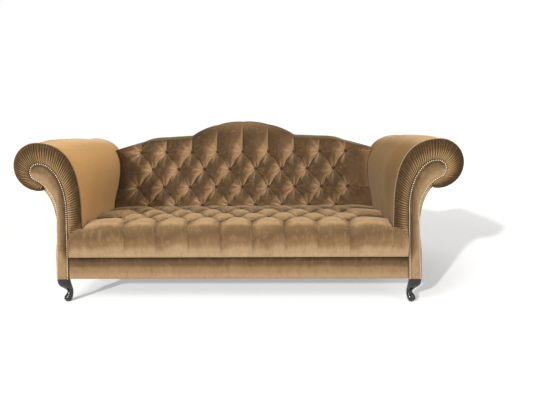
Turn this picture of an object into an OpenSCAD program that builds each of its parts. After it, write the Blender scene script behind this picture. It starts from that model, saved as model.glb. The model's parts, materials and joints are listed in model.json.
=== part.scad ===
// Three-seat chesterfield sofa: scroll arms with pleated borders, a camel back and deep diamond buttoning.
// The origin is on the floor under the middle of the body. +X is to the sitter's left, -Y is the front.

/* [Overall] */
// Width over the two scrolls
overall_w = 2276; // [2000:10:2700]
// Depth from the seat's front roll to the top of the outside back
overall_d = 930; // [880:5:1020]
// Height of the middle of the camel back
back_h = 955; // [925:5:1010]
// Height of the arms
arm_h = 846; // [825:1:870]
// Height of the seat's crown
seat_h = 450; // [435:1:470]
// Height of the feet, up to the underside of the frame
foot_h = 134; // [110:1:150]

/* [Arms] */
// Radius of the rolled head of an arm, over its pleats
scroll_r = 121; // [110:1:130]
// Width of an arm, from the outside of its scroll to its inside
arm_w = 335; // [310:1:360]
// Height at which the arm starts to curl outwards
neck_z = 515; // [490:1:540]
// How far the scroll overhangs the outside of the arm at its foot
scroll_over = 184; // [165:1:198]
// How far the scroll overhangs the arm at its waist
waist_over = 206; // [195:1:210]
// Thickness of the arm's padding over its frame
arm_pad_t = 24; // [18:1:30]
// How far the inside of the arm swells behind its front welt
arm_swell = 18; // [10:1:40]
// Rise of the arm's padding behind its pleated border
arm_crown = 16; // [0:1:20]
// Radius of the facing's round head
facing_r = 47; // [40:1:52]
// Width of the facing at its foot
facing_w = 61; // [50:1:62]
// Thickness of the facing
facing_t = 12; // [8:1:16]
// How far the pleated border stands proud of the facing
border_proud = 7; // [3:1:10]
// Number of pleats in each border
pleats = 57; // [40:1:60]
// Radius of the welt round the scroll
welt_r = 3.6; // [2.5:0.1:4]

/* [Back] */
// Slope of the outside back from upright
rake = 10.5; // [7:0.5:12]
// Height of the camel back's side shoulders
shoulder_h = 859; // [845:1:880]
// Height at which the camel back meets the arms
camel_end_h = 782; // [770:1:795]
// Distance from the middle to the notch beside the camel's hump
notch_x = 341; // [300:1:380]
// Height of that notch
notch_h = 866; // [855:1:885]
// Thickness of the padding over the crest
crest_pad_t = 24; // [18:1:30]
// Height of the top row of back buttons
top_row_z = 757; // [745:1:765]
// Depth of the back at the top row of buttons, to the top of the outside back
top_depth = 144; // [138:1:156]
// How far the crease of seat and back lies below the seat's crown
crease_drop = 17; // [10:1:24]
// How far the back's puffs stand out from their buttons
back_puff = 48; // [35:1:55]

/* [Seat] */
// Distance from the outer buttons to the inside of an arm
side_gap = 139; // [125:1:160]
// Depth of the back at its crease with the seat, to the top of the outside back
crease_depth = 338; // [328:1:350]
// Distance from the front roll to the front row of seat buttons
front_row_d = 112; // [105:1:125]
// How far the seat's puffs stand above their buttons
seat_puff = 29; // [20:1:34]
// How far the seat falls from its rear to its front roll
seat_fall = 10; // [0:1:12]
// How far the front roll stands proud of the facings
nose_out = 18; // [12:1:24]
// Height of the front roll's lower edge
roll_z = 250; // [245:1:262]
// Depth of the sewn channels in the front roll
channel = 9; // [5:1:12]
// Height of the buttoned seat from the ledge under it to its crown
seat_pad_h = 88; // [80:1:100]
// Radius of a covered button
button_r = 9; // [7:0.5:11]

/* [Frame] */
// Thickness of the frame's rails and boards
wood_t = 26; // [22:1:30]
// Height of the seat rails
rail_h = 106; // [90:1:108]
// Thickness of a velvet cover on its backing
skin_t = 5; // [3:0.5:6]
// Width of a web or a slat
web_w = 50; // [40:1:60]
// Number of seat springs
springs = 11; // [8:1:12]
// Width of a seat spring's zigzag
spring_w = 54; // [40:1:60]
// Thickness of a seat spring's wire
wire_t = 4; // [3:0.5:5]
// Thickness of the hessian and the webs
cloth_t = 2; // [1.5:0.5:3]

/* [Trim and feet] */
// Distance between decorative nails
nail_pitch = 10.4; // [9:0.1:14]
// Radius of a nail's head
nail_r = 3.2; // [2.8:0.1:4]
// Width of a foot's top
foot_w = 58; // [54:1:72]
// Diameter of a foot bolt
bolt_d = 10; // [8:1:12]
// Length of a foot bolt
bolt_l = 70; // [60:1:80]

/* [Hidden] */
// Clearance between neighbouring pieces
clr = 0.3;
// Overrun that carries a cut through a face
eps = 1;
// Y of the front roll, of the facings and of the arm boards' front faces
front_y = -overall_d / 2;
face_y = front_y + nose_out;
board_y = face_y + facing_t + clr;
// Y of the outside back's rear face at a height
function rear_y(z) = overall_d / 2 - (back_h - z) * tan(rake);
// Y of a plane parallel to the outside back and a distance before it
function before_rear(z, t) = rear_y(z) - t / cos(rake);
base_z = foot_h;
rail_top = base_z + rail_h;
// Inside of an arm, and its outside at the foot and at the waist, from the middle of the sofa
arm_in_x = overall_w / 2 - arm_w;
arm_out_x = overall_w / 2 - scroll_over;
arm_waist_x = overall_w / 2 - waist_over;
// Distance between neighbouring buttons of a row: the seat has nine, from arm to arm
pitch = (arm_in_x - side_gap) / 4;
// Distances from the front roll to the crease of seat and back and to the top row of back buttons
crease_d = overall_d - crease_depth;
top_row_d = overall_d - top_depth;
// Height of the ledge on which the buttoned pads lie
pad_z = seat_h - seat_pad_h;
// Lower edge of the tacking rails round the seat
tack_z = mix(rail_top, pad_z, 0.59);
frame_front = skin_t + clr;
stile_t = wood_t + frame_front;

// Centre of the scroll's head and of the facing's head
head_x = overall_w / 2 - scroll_r;
head_z = arm_h - scroll_r;
fhead_x = head_x - facing_r * 0.21;
fhead_z = head_z - facing_r * 0.57;
// Inner edge of the facing at its foot and at the neck, and its outer edge
fin_x = arm_out_x - skin_t - 2 * clr - facing_w;
fneck_x = fin_x - facing_w * 0.25;
fout_x = fin_x + facing_w;
fneck_out = fneck_x + facing_w * 0.905;

// Points of a cubic curve, without its last point
function curve(a, b, c, d, n) = [for (i = [0:n - 1]) let (t = i / n, s = 1 - t)
    a * s * s * s + b * 3 * s * s * t + c * 3 * s * t * t + d * t * t * t];
// Points of an arc from angle a to angle b
function arc(x, z, r, a, b, n) = [for (i = [0:n]) let (t = a + (b - a) * i / n)
    [x + r * cos(t), z + r * sin(t)]];
// A path moved sideways: positive moves it to the right of its direction
function shifted(p, d) = [for (i = [0:len(p) - 1])
    let (q = p[min(i + 1, len(p) - 1)] - p[max(i - 1, 0)], n = [q.y, -q.x] / norm(q)) p[i] + n * d];
function reversed(p) = [for (i = [len(p) - 1:-1:0]) p[i]];
function mirrored_x(p) = [for (i = [len(p) - 1:-1:0]) [-p[i].x, p[i].y]];
// Running length along a path, and the point at a given length
function runs(p) = [for (i = 0, s = 0; i < len(p); i = i + 1,
    s = s + (i < len(p) ? norm(p[i] - p[i - 1]) : 0)) s];
function at(p, r, s) = [lookup(s, [for (i = [0:len(p) - 1]) [r[i], p[i].x]]),
    lookup(s, [for (i = [0:len(p) - 1]) [r[i], p[i].y]])];
function even(p, n) = let (r = runs(p)) [for (i = [0:n]) at(p, r, r[len(p) - 1] * i / n)];
function mix(a, b, t) = a + (b - a) * t;
function ease(t) = let (u = max(0, min(1, t))) u * u * (3 - 2 * u);

// Outline of the rolled arm as x and z: up the inside, over the head and back under it to the neck
under_angle = 100;
arm_curl = curve([arm_in_x, neck_z], [arm_in_x, neck_z + (arm_h - neck_z) * 0.62],
    [mix(arm_in_x, head_x, 0.25), arm_h], [head_x, arm_h], 10);
arm_head = arc(head_x, head_z, scroll_r, 90, -under_angle, 14);
swell_z = neck_z - scroll_r / 2;
function arm_path(z0) = concat([[arm_in_x, z0], [arm_in_x, swell_z]], arm_curl, arm_head);
// Outside of the arm, from under the scroll down to the foot
neck_top = [head_x - scroll_r * 0.2, head_z - scroll_r * 0.97];
waist = [arm_waist_x, mix(base_z, neck_z, 0.76)];
foot_bend = [mix(arm_waist_x, arm_out_x, 0.8), mix(base_z, neck_z, 0.26)];
function outer_path() = concat(
    curve(neck_top, [mix(waist.x, neck_top.x, 0.52), neck_top.y - scroll_r * 0.24],
        [waist.x + skin_t, neck_z + scroll_r * 0.12], waist, 10),
    curve(waist, [waist.x, mix(base_z, neck_z, 0.63)], [foot_bend.x, mix(base_z, neck_z, 0.45)], foot_bend, 6),
    [foot_bend, [arm_out_x, base_z]]);
// Edge of the facing: inner edge up, round the head and down the outer edge
facing_curl = curve([fneck_x, neck_z - facing_r * 0.3], [fneck_x - skin_t / 2, mix(neck_z, fhead_z, 0.55)],
    [mix(fneck_x, fhead_x, 0.32), fhead_z + facing_r], [fhead_x, fhead_z + facing_r], 12);
facing_head = arc(fhead_x, fhead_z, facing_r, 90, -65, 10);
facing_neck = curve(facing_head[10], [fhead_x - facing_r * 0.5, fhead_z - facing_r * 1.25],
    [fneck_out, mix(neck_z, fhead_z, 0.33)], [fneck_out, neck_z - facing_r * 0.6], 10);
function facing_path(z0) = concat([[fin_x, z0]], facing_curl, facing_head,
    [for (i = [1:9]) facing_neck[i]], [[fneck_out, neck_z - facing_r * 0.6], [fout_x, z0]]);
// Outline of the boards that carry the arm: the arm's outline less its padding
function board_path(z0) = concat([[arm_in_x + arm_pad_t, z0]],
    [for (p = shifted(arm_path(base_z), arm_pad_t)) if (p.y > base_z + eps) p],
    [for (p = shifted(outer_path(), skin_t + clr)) if (p.y > base_z + eps && p.y < neck_top.y - arm_pad_t * 0.6) p],
    [[arm_out_x - skin_t - clr, z0]]);

// Points of the camel back's top from the middle to the right arm, let in by d
function camel_half(d) = let (s = back_h - notch_h, e = arm_in_x + arm_w * 0.11)
    concat(curve([0, back_h], [notch_x * 0.4, back_h], [notch_x * 0.75, notch_h + s * 0.58],
            [notch_x, notch_h], 7),
        curve([notch_x, notch_h], [mix(notch_x, e, 0.22), shoulder_h - s * 0.06],
            [mix(notch_x, e, 0.46), shoulder_h + s * 0.08], [mix(notch_x, e, 0.62), shoulder_h - s * 0.26], 6),
        curve([mix(notch_x, e, 0.62), shoulder_h - s * 0.26], [mix(notch_x, e, 0.75), mix(shoulder_h, camel_end_h, 0.62)],
            [mix(notch_x, e, 0.9), mix(shoulder_h, camel_end_h, 0.82)], [e, camel_end_h], 5),
        [[e, camel_end_h], [e * 1.1, camel_end_h - s * 0.4]]);
camel_table = [for (p = camel_half(0)) [p.x, p.y]];
function camel_z(x) = lookup(abs(x), camel_table);
// Steel clips and springs lie on the rails, and the spring cloth on the springs
clip_t = cloth_t * 0.75;
clip_d = wood_t * 0.7;
spring_z = rail_top + clip_t + clr;
hessian_z = spring_z + wire_t + clip_t + 2 * clr;
// X of the arm's inside face at a height, and of the back where it meets the arm
side_table = [for (p = concat([[arm_in_x, base_z], [arm_in_x, swell_z]], arm_curl, [arm_head[0]]))
    [p.y, p.x - swell(p.y)]];
function swell(z) = arm_swell * ease((z - swell_z) / (scroll_r * 2.2))
    * ease((arm_h - z + scroll_r / 10) / (scroll_r / 2));
function side_x(z) = lookup(z, side_table);

// A closed skin through equal rings of points, one ring per station, split along the first or the second diagonal;
// cap lists the triangles of an end that isn't flat
module skin(rings, flip = function(i, k) false, cap = []) {
    n = len(rings[0]);
    m = len(rings);
    ends = len(cap) > 0 ? cap : [[for (k = [0:n - 1]) k]];
    faces = [for (i = [0:m - 2], k = [0:n - 1]) let (a = i * n + k, b = i * n + (k + 1) % n, c = b + n, d = a + n)
        each (flip(i, k) ? [[a, b, d], [b, c, d]] : [[a, b, c], [a, c, d]])];
    polyhedron([for (r = rings) each r], concat(faces, [for (c = ends) reversed(c)],
        [for (c = ends) [for (k = c) (m - 1) * n + k]]), convexity = 8);
}
// A tube of six sides through points in space
module tube(pts, r) {
    skin([for (i = [0:len(pts) - 1])
        let (t = pts[min(i + 1, len(pts) - 1)] - pts[max(i - 1, 0)], f = t / norm(t),
            u = [0, 1, 0], v = cross(f, u) / norm(cross(f, u)))
        [for (k = [0:5]) pts[i] + r * (cos(k * 60) * u - sin(k * 60) * v)]]);
}
// A flat outline in x and z, as thick as t, standing from y towards the back
module upright(y, t, path) {
    translate([0, y + t, 0]) rotate([90, 0, 0]) linear_extrude(t) polygon(path);
}
// The same cut to the slope of the back: its rear face lies d before the outside back, square to the slope
module raked(d, t, path) {
    lo = base_z - eps;
    hi = back_h + eps;
    intersection() {
        upright(front_y, overall_d * 1.5, path);
        side_plate(-overall_w, overall_w, [[before_rear(lo, d + t), lo], [before_rear(lo, d), lo],
            [before_rear(hi, d), hi], [before_rear(hi, d + t), hi]]);
    }
}
module both(side) {
    mirror([side < 0 ? 1 : 0, 0, 0]) children();
}
module brick(x0, x1, y0, y1, z0, z1) {
    translate([x0, y0, z0]) cube([x1 - x0, y1 - y0, z1 - z0]);
}

// Tufting: u and v count half pitches, and the buttons are where both are whole with an even sum
function puff(u, v) = let (a = (u + v) / 2, b = (u - v) / 2, s = abs(sin(180 * a)), t = abs(sin(180 * b)))
    0.62 * sqrt(s * t) + 0.38 * max(s, t) * mix(1, min(s, t), 0.25);
// Ease of a puff over the crease, and the button line of the back at v rows above the crease
crease_y = front_y + crease_d;
crease_z = seat_h - crease_drop;
row_rise = (top_row_z - crease_z) / 3;
// Heights of the seat's buttons at row v from the front, and of the front roll's crown
function seat_z(v) = seat_h - seat_puff - seat_fall * (5 - v) / 4;
nose_z = seat_h - seat_fall;
function back_y(v) = crease_y + (top_row_d - crease_d) * (1 - pow(max(0, 1 - v / 3), 1.3));
function back_z(v) = crease_z + v * row_rise;
half = pitch / 2;
// Stations across the sofa: every sixth of a pitch between the outer buttons, then out to the arms
main_x = [for (j = [-24:24]) j * pitch / 6];
edge = 4 * pitch;
function clamp(a, lo, hi) = max(lo, min(hi, a));
function tuft(x, v) = puff(clamp(x / half, -8, 8), v);
function fold_side(x, v) = (floor(clamp(x / half, -7.99, 7.99)) + floor(v)) % 2 != 0;

// Back pad: one ring of y and z for each station; f runs from 0 at the outer button to 1 at the arm
pad_back_t = stile_t + 2 * cloth_t + 3 * clr;
function back_side(s, f, z, gap) = s * (edge + (side_x(z) - gap - edge) * f);
function back_ring(x, s, f) = let (
    top = camel_z(f > 0 ? edge + (side_x(camel_end_h) - edge) * f : x),
    g = tuft(x, 4), round_off = back_puff * 0.35 * f * f,
    front = [for (k = [0:9]) let (v = k / 3)
        [back_y(v) - back_puff * tuft(x, v + 1) * ease(v * 1.2) * (1 - 0.35 * f * f) + round_off * ease(v), back_z(v)]],
    z1 = mix(top_row_z, top, 0.42), z2 = mix(top_row_z, top, 0.78),
    notch = camel_z(f > 0 ? edge + (side_x(camel_end_h - crest_pad_t) - edge) * f : x) - crest_pad_t + 3 * clr,
    lean = tan(rake) * 1.9,
    ring = concat([[crease_y + clr, pad_z + clr]], front, [
        [back_y(3) + (z1 - top_row_z) * lean - back_puff * g * 0.9, z1],
        [back_y(3) + (z2 - top_row_z) * lean - back_puff * g * 0.55, z2],
        [mix(back_y(3), rear_y(top), 0.56), top - crest_pad_t * 0.1 - channel * 0.4 * (1 - g)],
        [before_rear(top, stile_t * 0.6), top],
        [before_rear(top - crest_pad_t * 0.45, frame_front), top - crest_pad_t * 0.45],
        [before_rear(notch, frame_front), notch],
        [before_rear(notch, pad_back_t), notch]],
        [for (z = concat([for (k = [3:-1:1]) back_z(k)], [pad_z + clr])) [before_rear(z, pad_back_t), z]]))
    [for (k = [0:len(ring) - 1]) let (p = ring[k])
        [f > 0 ? back_side(s, f, min(p.y, top), k > 17 ? 4 * skin_t : 6 * clr) : x, p.x, p.y]];
back_cap = concat([for (k = [0:3]) [21, k, k + 1]], [[21, 4, 20]],
    [for (r = [0:1], k = [4:6]) [20 - r, 3 * r + k, 3 * r + k + 1]],
    [for (r = [0:1]) [20 - r, 3 * r + 7, 19 - r]],
    [[18, 10, 11], [18, 11, 17], [11, 12, 17], [12, 13, 17], [13, 14, 16], [13, 16, 17], [14, 15, 16]]);
module back_pad() {
    color("#9a7443") skin(cap = back_cap, rings = concat(
        [for (f = [1, 0.55, 0.22]) back_ring(-edge, -1, f)],
        [for (x = main_x) back_ring(x, 1, 0)],
        [for (f = [0.22, 0.55, 1]) back_ring(edge, 1, f)]),
        flip = function(i, k) fold_side((i - 26.5) * pitch / 6, k < 1 ? 1 : min((k - 0.5) / 3, 2.9) + 1));
}

// Seat pad: one ring for each station, from the front row of buttons to the crease
function seat_v(k) = 1 + k / 3;
function seat_top(x, v, f) = seat_z(v) + seat_puff * tuft(x, v) * (1 - 0.55 * ease((v - 4) * 1.2))
    - seat_puff * 0.5 * f * f;
function seat_ring(x, f) = let (y0 = front_y + front_row_d + clr, y1 = crease_y - clr)
    [for (p = concat([for (k = [0:12]) [mix(y0, y1, k / 12), seat_top(x, seat_v(k), f)]],
        [[y1, pad_z + clr], [y0, pad_z + clr]])) [x, p.x, p.y]];
seat_edge = arm_in_x - 2 * clr;
module seat_pad() {
    color("#a37c49") skin(concat(
        [for (f = [1, 0.5]) seat_ring(-mix(edge, seat_edge, f), f)],
        [for (x = main_x) seat_ring(x, 0)],
        [for (f = [0.5, 1]) seat_ring(mix(edge, seat_edge, f), f)]),
        function(i, k) fold_side((i - 25.5) * pitch / 6, min((k + 0.5) / 3, 3.9) + 1));
}

// Front roll: the seat's nose and its channelled front, with an ear before each arm
function facing_in(z) = mix(fin_x, fneck_x, (z - base_z) / (facing_curl[0].y - base_z));
ear_x = facing_in(mix(roll_z, nose_z, 0.55)) - 4 * clr;
roll_edge = arm_in_x - 2 * welt_r;
function ear_z(x) = nose_z - (abs(x) - arm_in_x) * 1.35;
function roll_ring(x) = let (g = tuft(x, 1), h = nose_z - roll_z, dent = channel * (1 - g),
    f = clamp((abs(x) - edge) / (roll_edge - edge), 0, 1), top = nose_z - seat_puff * 0.25 * f * f)
    [for (p = [
        [front_row_d - clr, seat_top(x, 1, f)],
        [front_row_d * 0.8, mix(seat_top(x, 1, f), top, 0.7) - dent],
        [front_row_d * 0.55, top - dent],
        [front_row_d * 0.28, top - h * 0.06 - dent * 0.9],
        [front_row_d * 0.09 + dent * 0.7, top - h * 0.22],
        [dent, top - h * 0.42],
        [channel * 0.1 + dent * 0.8, top - h * 0.66],
        [channel * 0.5 + dent * 0.5, roll_z + h * 0.12],
        [channel * 1.2, roll_z + h * 0.02],
        [nose_out * 1.4, roll_z],
        [nose_out * 3, roll_z],
        [front_row_d - clr, roll_z + h * 0.05]]) [-x, front_y + p.x, p.y]];
function ear_ring(x) = let (back = nose_out + facing_t * 0.5,
    top = min(ear_z(x), nose_z - seat_puff * 0.3), h = top - roll_z)
    [for (p = [[back, 0.8], [back * 0.97, 0.9], [back * 0.82, 0.97], [back * 0.55, 1], [back * 0.24, 0.95],
        [back * 0.06, 0.84], [channel * 0.1, 0.5], [channel * 0.5, 0.14], [channel * 1.2, 0.03],
        [nose_out * 0.9, 0], [back, 0.02], [back * 0.98, 0.4]]) [-x, front_y + p.x, roll_z + h * p.y]];
module seat_front_roll() {
    ears = [for (f = [0:3]) mix(roll_edge + welt_r / 2, ear_x, f / 3)];
    color("#a37c49") skin(concat(
        [for (x = reversed(ears)) ear_ring(-x)],
        [for (f = [1, 0.5]) roll_ring(-mix(edge, roll_edge, f))],
        [for (x = main_x) roll_ring(x)],
        [for (f = [0.5, 1]) roll_ring(mix(edge, roll_edge, f))],
        [for (x = ears) ear_ring(x)]));
}

// Padding and velvet of an arm: up the inside, over the head and round to the neck
pad_foot_z = hessian_z + cloth_t + clr;
weld_y = board_y + 2.4 * welt_r;
module arm_pad(side) {
    outer = arm_path(pad_foot_z);
    inner = shifted(outer, arm_pad_t - clr);
    n = len(outer);
    // The inside ends before the frame of the back, the head runs on to the outside back
    function stop(k, z) = before_rear(z, k < len(arm_curl) + 2 && outer[k].y < camel_end_h + crest_pad_t
        ? pad_back_t : frame_front);
    function across(k, t) = outer[k].x - (outer[k].x < head_x && k < n - 4 ? swell(outer[k].y) * ease(t / 0.28) : 0);
    function rise(k, t) = arm_crown * ease((outer[k].y - camel_end_h) / (arm_h - camel_end_h)) * ease(t / 0.28)
        * (1 - ease((t - 0.62) / 0.38) / 2);
    color("#ad8149") both(side) skin(
        cap = [for (k = [0:n - 2]) each [[k, k + 1, 2 * n - 2 - k], [k, 2 * n - 2 - k, 2 * n - 1 - k]]],
        rings = [for (t = [1, 0.62, 0.28, 0.13, 0.05, 0]) concat(
            [for (k = [0:n - 1]) [across(k, t), mix(weld_y, stop(k, outer[k].y), t), outer[k].y + rise(k, t)]],
            [for (k = [n - 1:-1:0]) [inner[k].x, mix(weld_y, stop(k, inner[k].y), t), inner[k].y]])]);
}
module arm_pad_left() { arm_pad(-1); }
module arm_pad_right() { arm_pad(1); }

// Pleated border: a crest and a valley for each pleat, from the seat round the head to the neck
border_foot_z = mix(roll_z, nose_z, 0.45);
function border_lines(n, d) = let (
    a = even([[facing_in(border_foot_z) - d, border_foot_z], shifted(facing_curl, -d)[0]], n[0]),
    b = even(concat(shifted(facing_curl, -d), [[fhead_x, fhead_z + facing_r + d]]), n[1]),
    c = even(concat(shifted(facing_head, -d), shifted([for (i = [1:3]) facing_neck[i]], -d)), n[2]),
    p = even([[arm_in_x, border_foot_z], arm_curl[0]], n[0]),
    q = even(concat(arm_curl, [arm_head[0]]), n[1]),
    r = even(arm_head, n[2]))
    [for (i = [0:n[0] - 1]) [a[i], p[i]], for (i = [0:n[1] - 1]) [b[i], q[i]], for (i = [0:n[2]]) [c[i], r[i]]];
function border_share(x, z) = ease((z - ear_z(x) - 4 * clr) / (facing_r * 0.8));
module pleated_border(side) {
    total = 2 * pleats;
    n = [round(total * 0.2), round(total * 0.42), total - round(total * 0.2) - round(total * 0.42)];
    lines = border_lines(n, 2 * clr);
    y0 = board_y - clr;
    color("#8f6b3c") both(side) skin([for (i = [0:len(lines) - 1]) let (a = lines[i][0], b = lines[i][1],
        c = mix(a, b, 0.3), d = mix(a, b, 0.76), wave = (i % 2) * border_proud * 0.6,
        f = border_share(c.x, c.y), g = border_share(d.x, d.y))
        [[b.x, y0, b.y], [a.x, y0, a.y], [a.x, y0 - facing_t * 0.5, a.y],
            [c.x, mix(y0 - facing_t * 0.3, face_y - border_proud + wave, f), c.y],
            [d.x, mix(y0 - facing_t * 0.28, face_y - border_proud * 0.4 + wave, g), d.y]]]);
}
module pleated_border_left() { pleated_border(-1); }
module pleated_border_right() { pleated_border(1); }
// Welt along the outer edge of the border
module welt(side) {
    line = [for (p = reversed(arm_path(border_foot_z))) [p.x, board_y + welt_r, p.y]];
    color("#6d4f2a") both(side) tube(line, welt_r);
}
module welt_left() { welt(-1); }
module welt_right() { welt(1); }

// Facing panel and its two lines of nails
module facing(side) {
    color("#96713f") both(side) upright(face_y, facing_t, facing_path(base_z));
}
module facing_left() { facing(-1); }
module facing_right() { facing(1); }
module nail_trim(side) {
    line = shifted(facing_path(base_z + nail_r), nail_r * 1.1);
    spots = even(line, floor(runs(line)[len(line) - 1] / nail_pitch));
    y = face_y - clr;
    n = 8;
    color("#d9c9a3") both(side) polyhedron(
        [for (p = spots) each concat([for (k = [0:n - 1]) let (a = k * 360 / n)
            [p.x + nail_r * cos(a), y, p.y + nail_r * sin(a)]], [[p.x, y - nail_r * 0.75, p.y]])],
        [for (i = [0:len(spots) - 1]) let (b = i * (n + 1)) each concat([[for (k = [0:n - 1]) b + k]],
            [for (k = [0:n - 1]) [b + (k + 1) % n, b + k, b + n]])], convexity = 8);
}
module nail_trim_left() { nail_trim(-1); }
module nail_trim_right() { nail_trim(1); }

// A covered button with its funnel of gathered velvet, standing on z
module button() {
    rotate_extrude($fn = 24) polygon([[0, clr], [button_r, button_r * 1.05], [button_r * 0.92, button_r * 1.28],
        [button_r * 0.5, button_r * 1.48], [0, button_r * 1.55]]);
}
module back_buttons() {
    tilt = atan((top_row_d - crease_d) / (3 * row_rise));
    color("#6b4c27") for (v = [0:3], j = [-8:8]) if ((j + v) % 2 != 0)
        translate([j * half, back_y(v), back_z(v)]) rotate([90 - tilt * (v == 0 ? 1.5 : 0.8), 0, 0]) button();
}
module seat_buttons() {
    color("#6b4c27") for (v = [1:4], j = [-8:8]) if ((j + v) % 2 == 0)
        translate([j * half, mix(front_y + front_row_d + clr, crease_y - clr, (v - 1) / 4), seat_z(v)]) button();
}

// A plate seen from the side, from y and z points, between two x
module side_plate(x0, x1, path) {
    translate([x0, 0, 0]) rotate([90, 0, 90]) linear_extrude(x1 - x0) polygon(path);
}
// The same with its rear end in the slope of the back, t before the outside back
module sloped_plate(x0, x1, y0, z0, z1, t) {
    side_plate(x0, x1, [[y0, z0], [before_rear(z0, t), z0], [before_rear(z1, t), z1], [y0, z1]]);
}

// Hardwood frame
frame_x = arm_in_x + arm_pad_t;
board_back = board_y + wood_t;
module front_rail() {
    color("#c8a26b") brick(-frame_x, frame_x, board_y, board_back, base_z, rail_top);
}
module back_rail() {
    color("#c8a26b") raked(frame_front, wood_t, [[-frame_x, base_z], [frame_x, base_z],
        [frame_x, rail_top], [-frame_x, rail_top]]);
}
module side_rail(side) {
    color("#c8a26b") both(side) sloped_plate(frame_x, frame_x + wood_t, board_back, base_z, rail_top, stile_t);
}
module side_rail_left() { side_rail(-1); }
module side_rail_right() { side_rail(1); }
module seat_stretchers() {
    color("#c8a26b") for (s = [-1, 1]) sloped_plate(s * pitch * 1.5 - wood_t / 2, s * pitch * 1.5 + wood_t / 2,
        board_back, base_z, base_z + rail_h * 0.5, stile_t);
}
module foot_blocks() {
    x0 = frame_x + wood_t;
    x1 = foot_bend.x - skin_t - clr;
    color("#b98f58") for (s = [-1, 1]) both(s) {
        difference() {
            brick(x0, x1, board_back, foot_y + foot_w, base_z, base_z + wood_t * 1.6);
            bolt_hole();
        }
        difference() {
            sloped_plate(x0, x1, rear_foot_y - foot_w, base_z, base_z + wood_t * 1.6, stile_t);
            rear_bolt_hole();
        }
    }
}
module arm_board(side) {
    color("#d0ab74") both(side) upright(board_y, wood_t, board_path(base_z));
}
module arm_board_left() { arm_board(-1); }
module arm_board_right() { arm_board(1); }
module arm_rear_board(side) {
    color("#d0ab74") both(side) raked(frame_front, wood_t, board_path(base_z));
}
module arm_rear_board_left() { arm_rear_board(-1); }
module arm_rear_board_right() { arm_rear_board(1); }
// Clear radius inside the arm's padding and hessian
core_r = (scroll_r - arm_pad_t - cloth_t - 2 * clr) * cos(7);
module arm_top_rail(side) {
    w = core_r * 0.24;
    z1 = head_z + sqrt(core_r * core_r - w * w) - clr;
    color("#c8a26b") both(side) sloped_plate(head_x - w, head_x + w, board_back, z1 - wood_t, z1, stile_t);
}
module arm_top_rail_left() { arm_top_rail(-1); }
module arm_top_rail_right() { arm_top_rail(1); }
module arm_scroll_rail(side) {
    w = core_r * 0.24;
    x1 = head_x + sqrt(core_r * core_r - w * w) - clr;
    color("#c8a26b") both(side) sloped_plate(x1 - wood_t, x1, board_back, head_z - w, head_z + w, stile_t);
}
module arm_scroll_rail_left() { arm_scroll_rail(-1); }
module arm_scroll_rail_right() { arm_scroll_rail(1); }
module arm_tack_rail(side) {
    x0 = frame_x + cloth_t + 2 * clr;
    color("#c8a26b") both(side) sloped_plate(x0, x0 + wood_t, board_back, tack_z, pad_z, stile_t);
}
module arm_tack_rail_left() { arm_tack_rail(-1); }
module arm_tack_rail_right() { arm_tack_rail(1); }
module arm_hessian(side) {
    line = shifted(arm_path(rail_top + clr), arm_pad_t + clr);
    color("#b7a07a") both(side) intersection() {
        upright(board_back, overall_d, concat(line, reversed(shifted(line, cloth_t))));
        sloped_plate(0, overall_w, front_y, base_z, back_h, stile_t + clr);
    }
}
module arm_hessian_left() { arm_hessian(-1); }
module arm_hessian_right() { arm_hessian(1); }

// Back frame, all in the slope of the outside back
crest_band = web_w * 1.7;
function crest_top(x) = camel_z(x) - crest_pad_t - clr;
module crest_rail() {
    line = [for (p = camel_half(0)) if (p.x < frame_x - web_w * 0.2) p];
    right = concat([for (p = line) [p.x, p.y - crest_pad_t - clr]],
        [[frame_x, crest_top(frame_x)], [frame_x, crest_top(frame_x) - crest_band]],
        reversed([for (p = line) [p.x, p.y - crest_pad_t - clr - crest_band]]));
    color("#d0ab74") raked(frame_front, wood_t, concat([for (p = right) if (p.x > 0) p],
        [[0, crest_top(0) - crest_band]], reversed([for (p = right) if (p.x > 0) [-p.x, p.y]]), [[0, crest_top(0)]]));
}
module back_post(side) {
    color("#c8a26b") both(side) raked(frame_front, wood_t, [[frame_x - web_w, rail_top], [frame_x, rail_top],
        [frame_x, crest_top(frame_x) - crest_band], [frame_x - web_w, crest_top(frame_x - web_w) - crest_band]]);
}
module back_post_left() { back_post(-1); }
module back_post_right() { back_post(1); }
module back_tack_rail() {
    x = frame_x - web_w;
    color("#c8a26b") raked(frame_front, wood_t, [[-x, tack_z], [x, tack_z], [x, pad_z], [-x, pad_z]]);
}
module back_slats() {
    color("#c8a26b") for (j = [-1:1]) let (x = j * 3 * half)
        raked(frame_front, wood_t, concat([[x - web_w / 2, pad_z], [x + web_w / 2, pad_z]],
            [for (k = [3:-1:-3]) let (q = x + web_w * k / 6) [q, crest_top(q) - crest_band - clr]]));
}
module back_webbing() {
    color("#8c7f63") for (k = [0:3]) let (z = mix(pad_z + web_w * 0.4, crest_top(frame_x) - crest_band, k / 3))
        raked(stile_t, cloth_t, [[-frame_x + clr, z], [frame_x - clr, z], [frame_x - clr, z + web_w], [-frame_x + clr, z + web_w]]);
}
module back_hessian() {
    right = [for (p = camel_half(0)) if (p.x < arm_in_x - web_w) [p.x, p.y - crest_pad_t - web_w * 0.5]];
    color("#b7a07a") raked(stile_t + cloth_t + clr, cloth_t, concat([for (p = right) p],
        [[arm_in_x - web_w * 0.8, pad_z + 2 * clr], [-(arm_in_x - web_w * 0.8), pad_z + 2 * clr]],
        reversed([for (p = right) if (p.x > 0) [-p.x, p.y]])));
}

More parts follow.
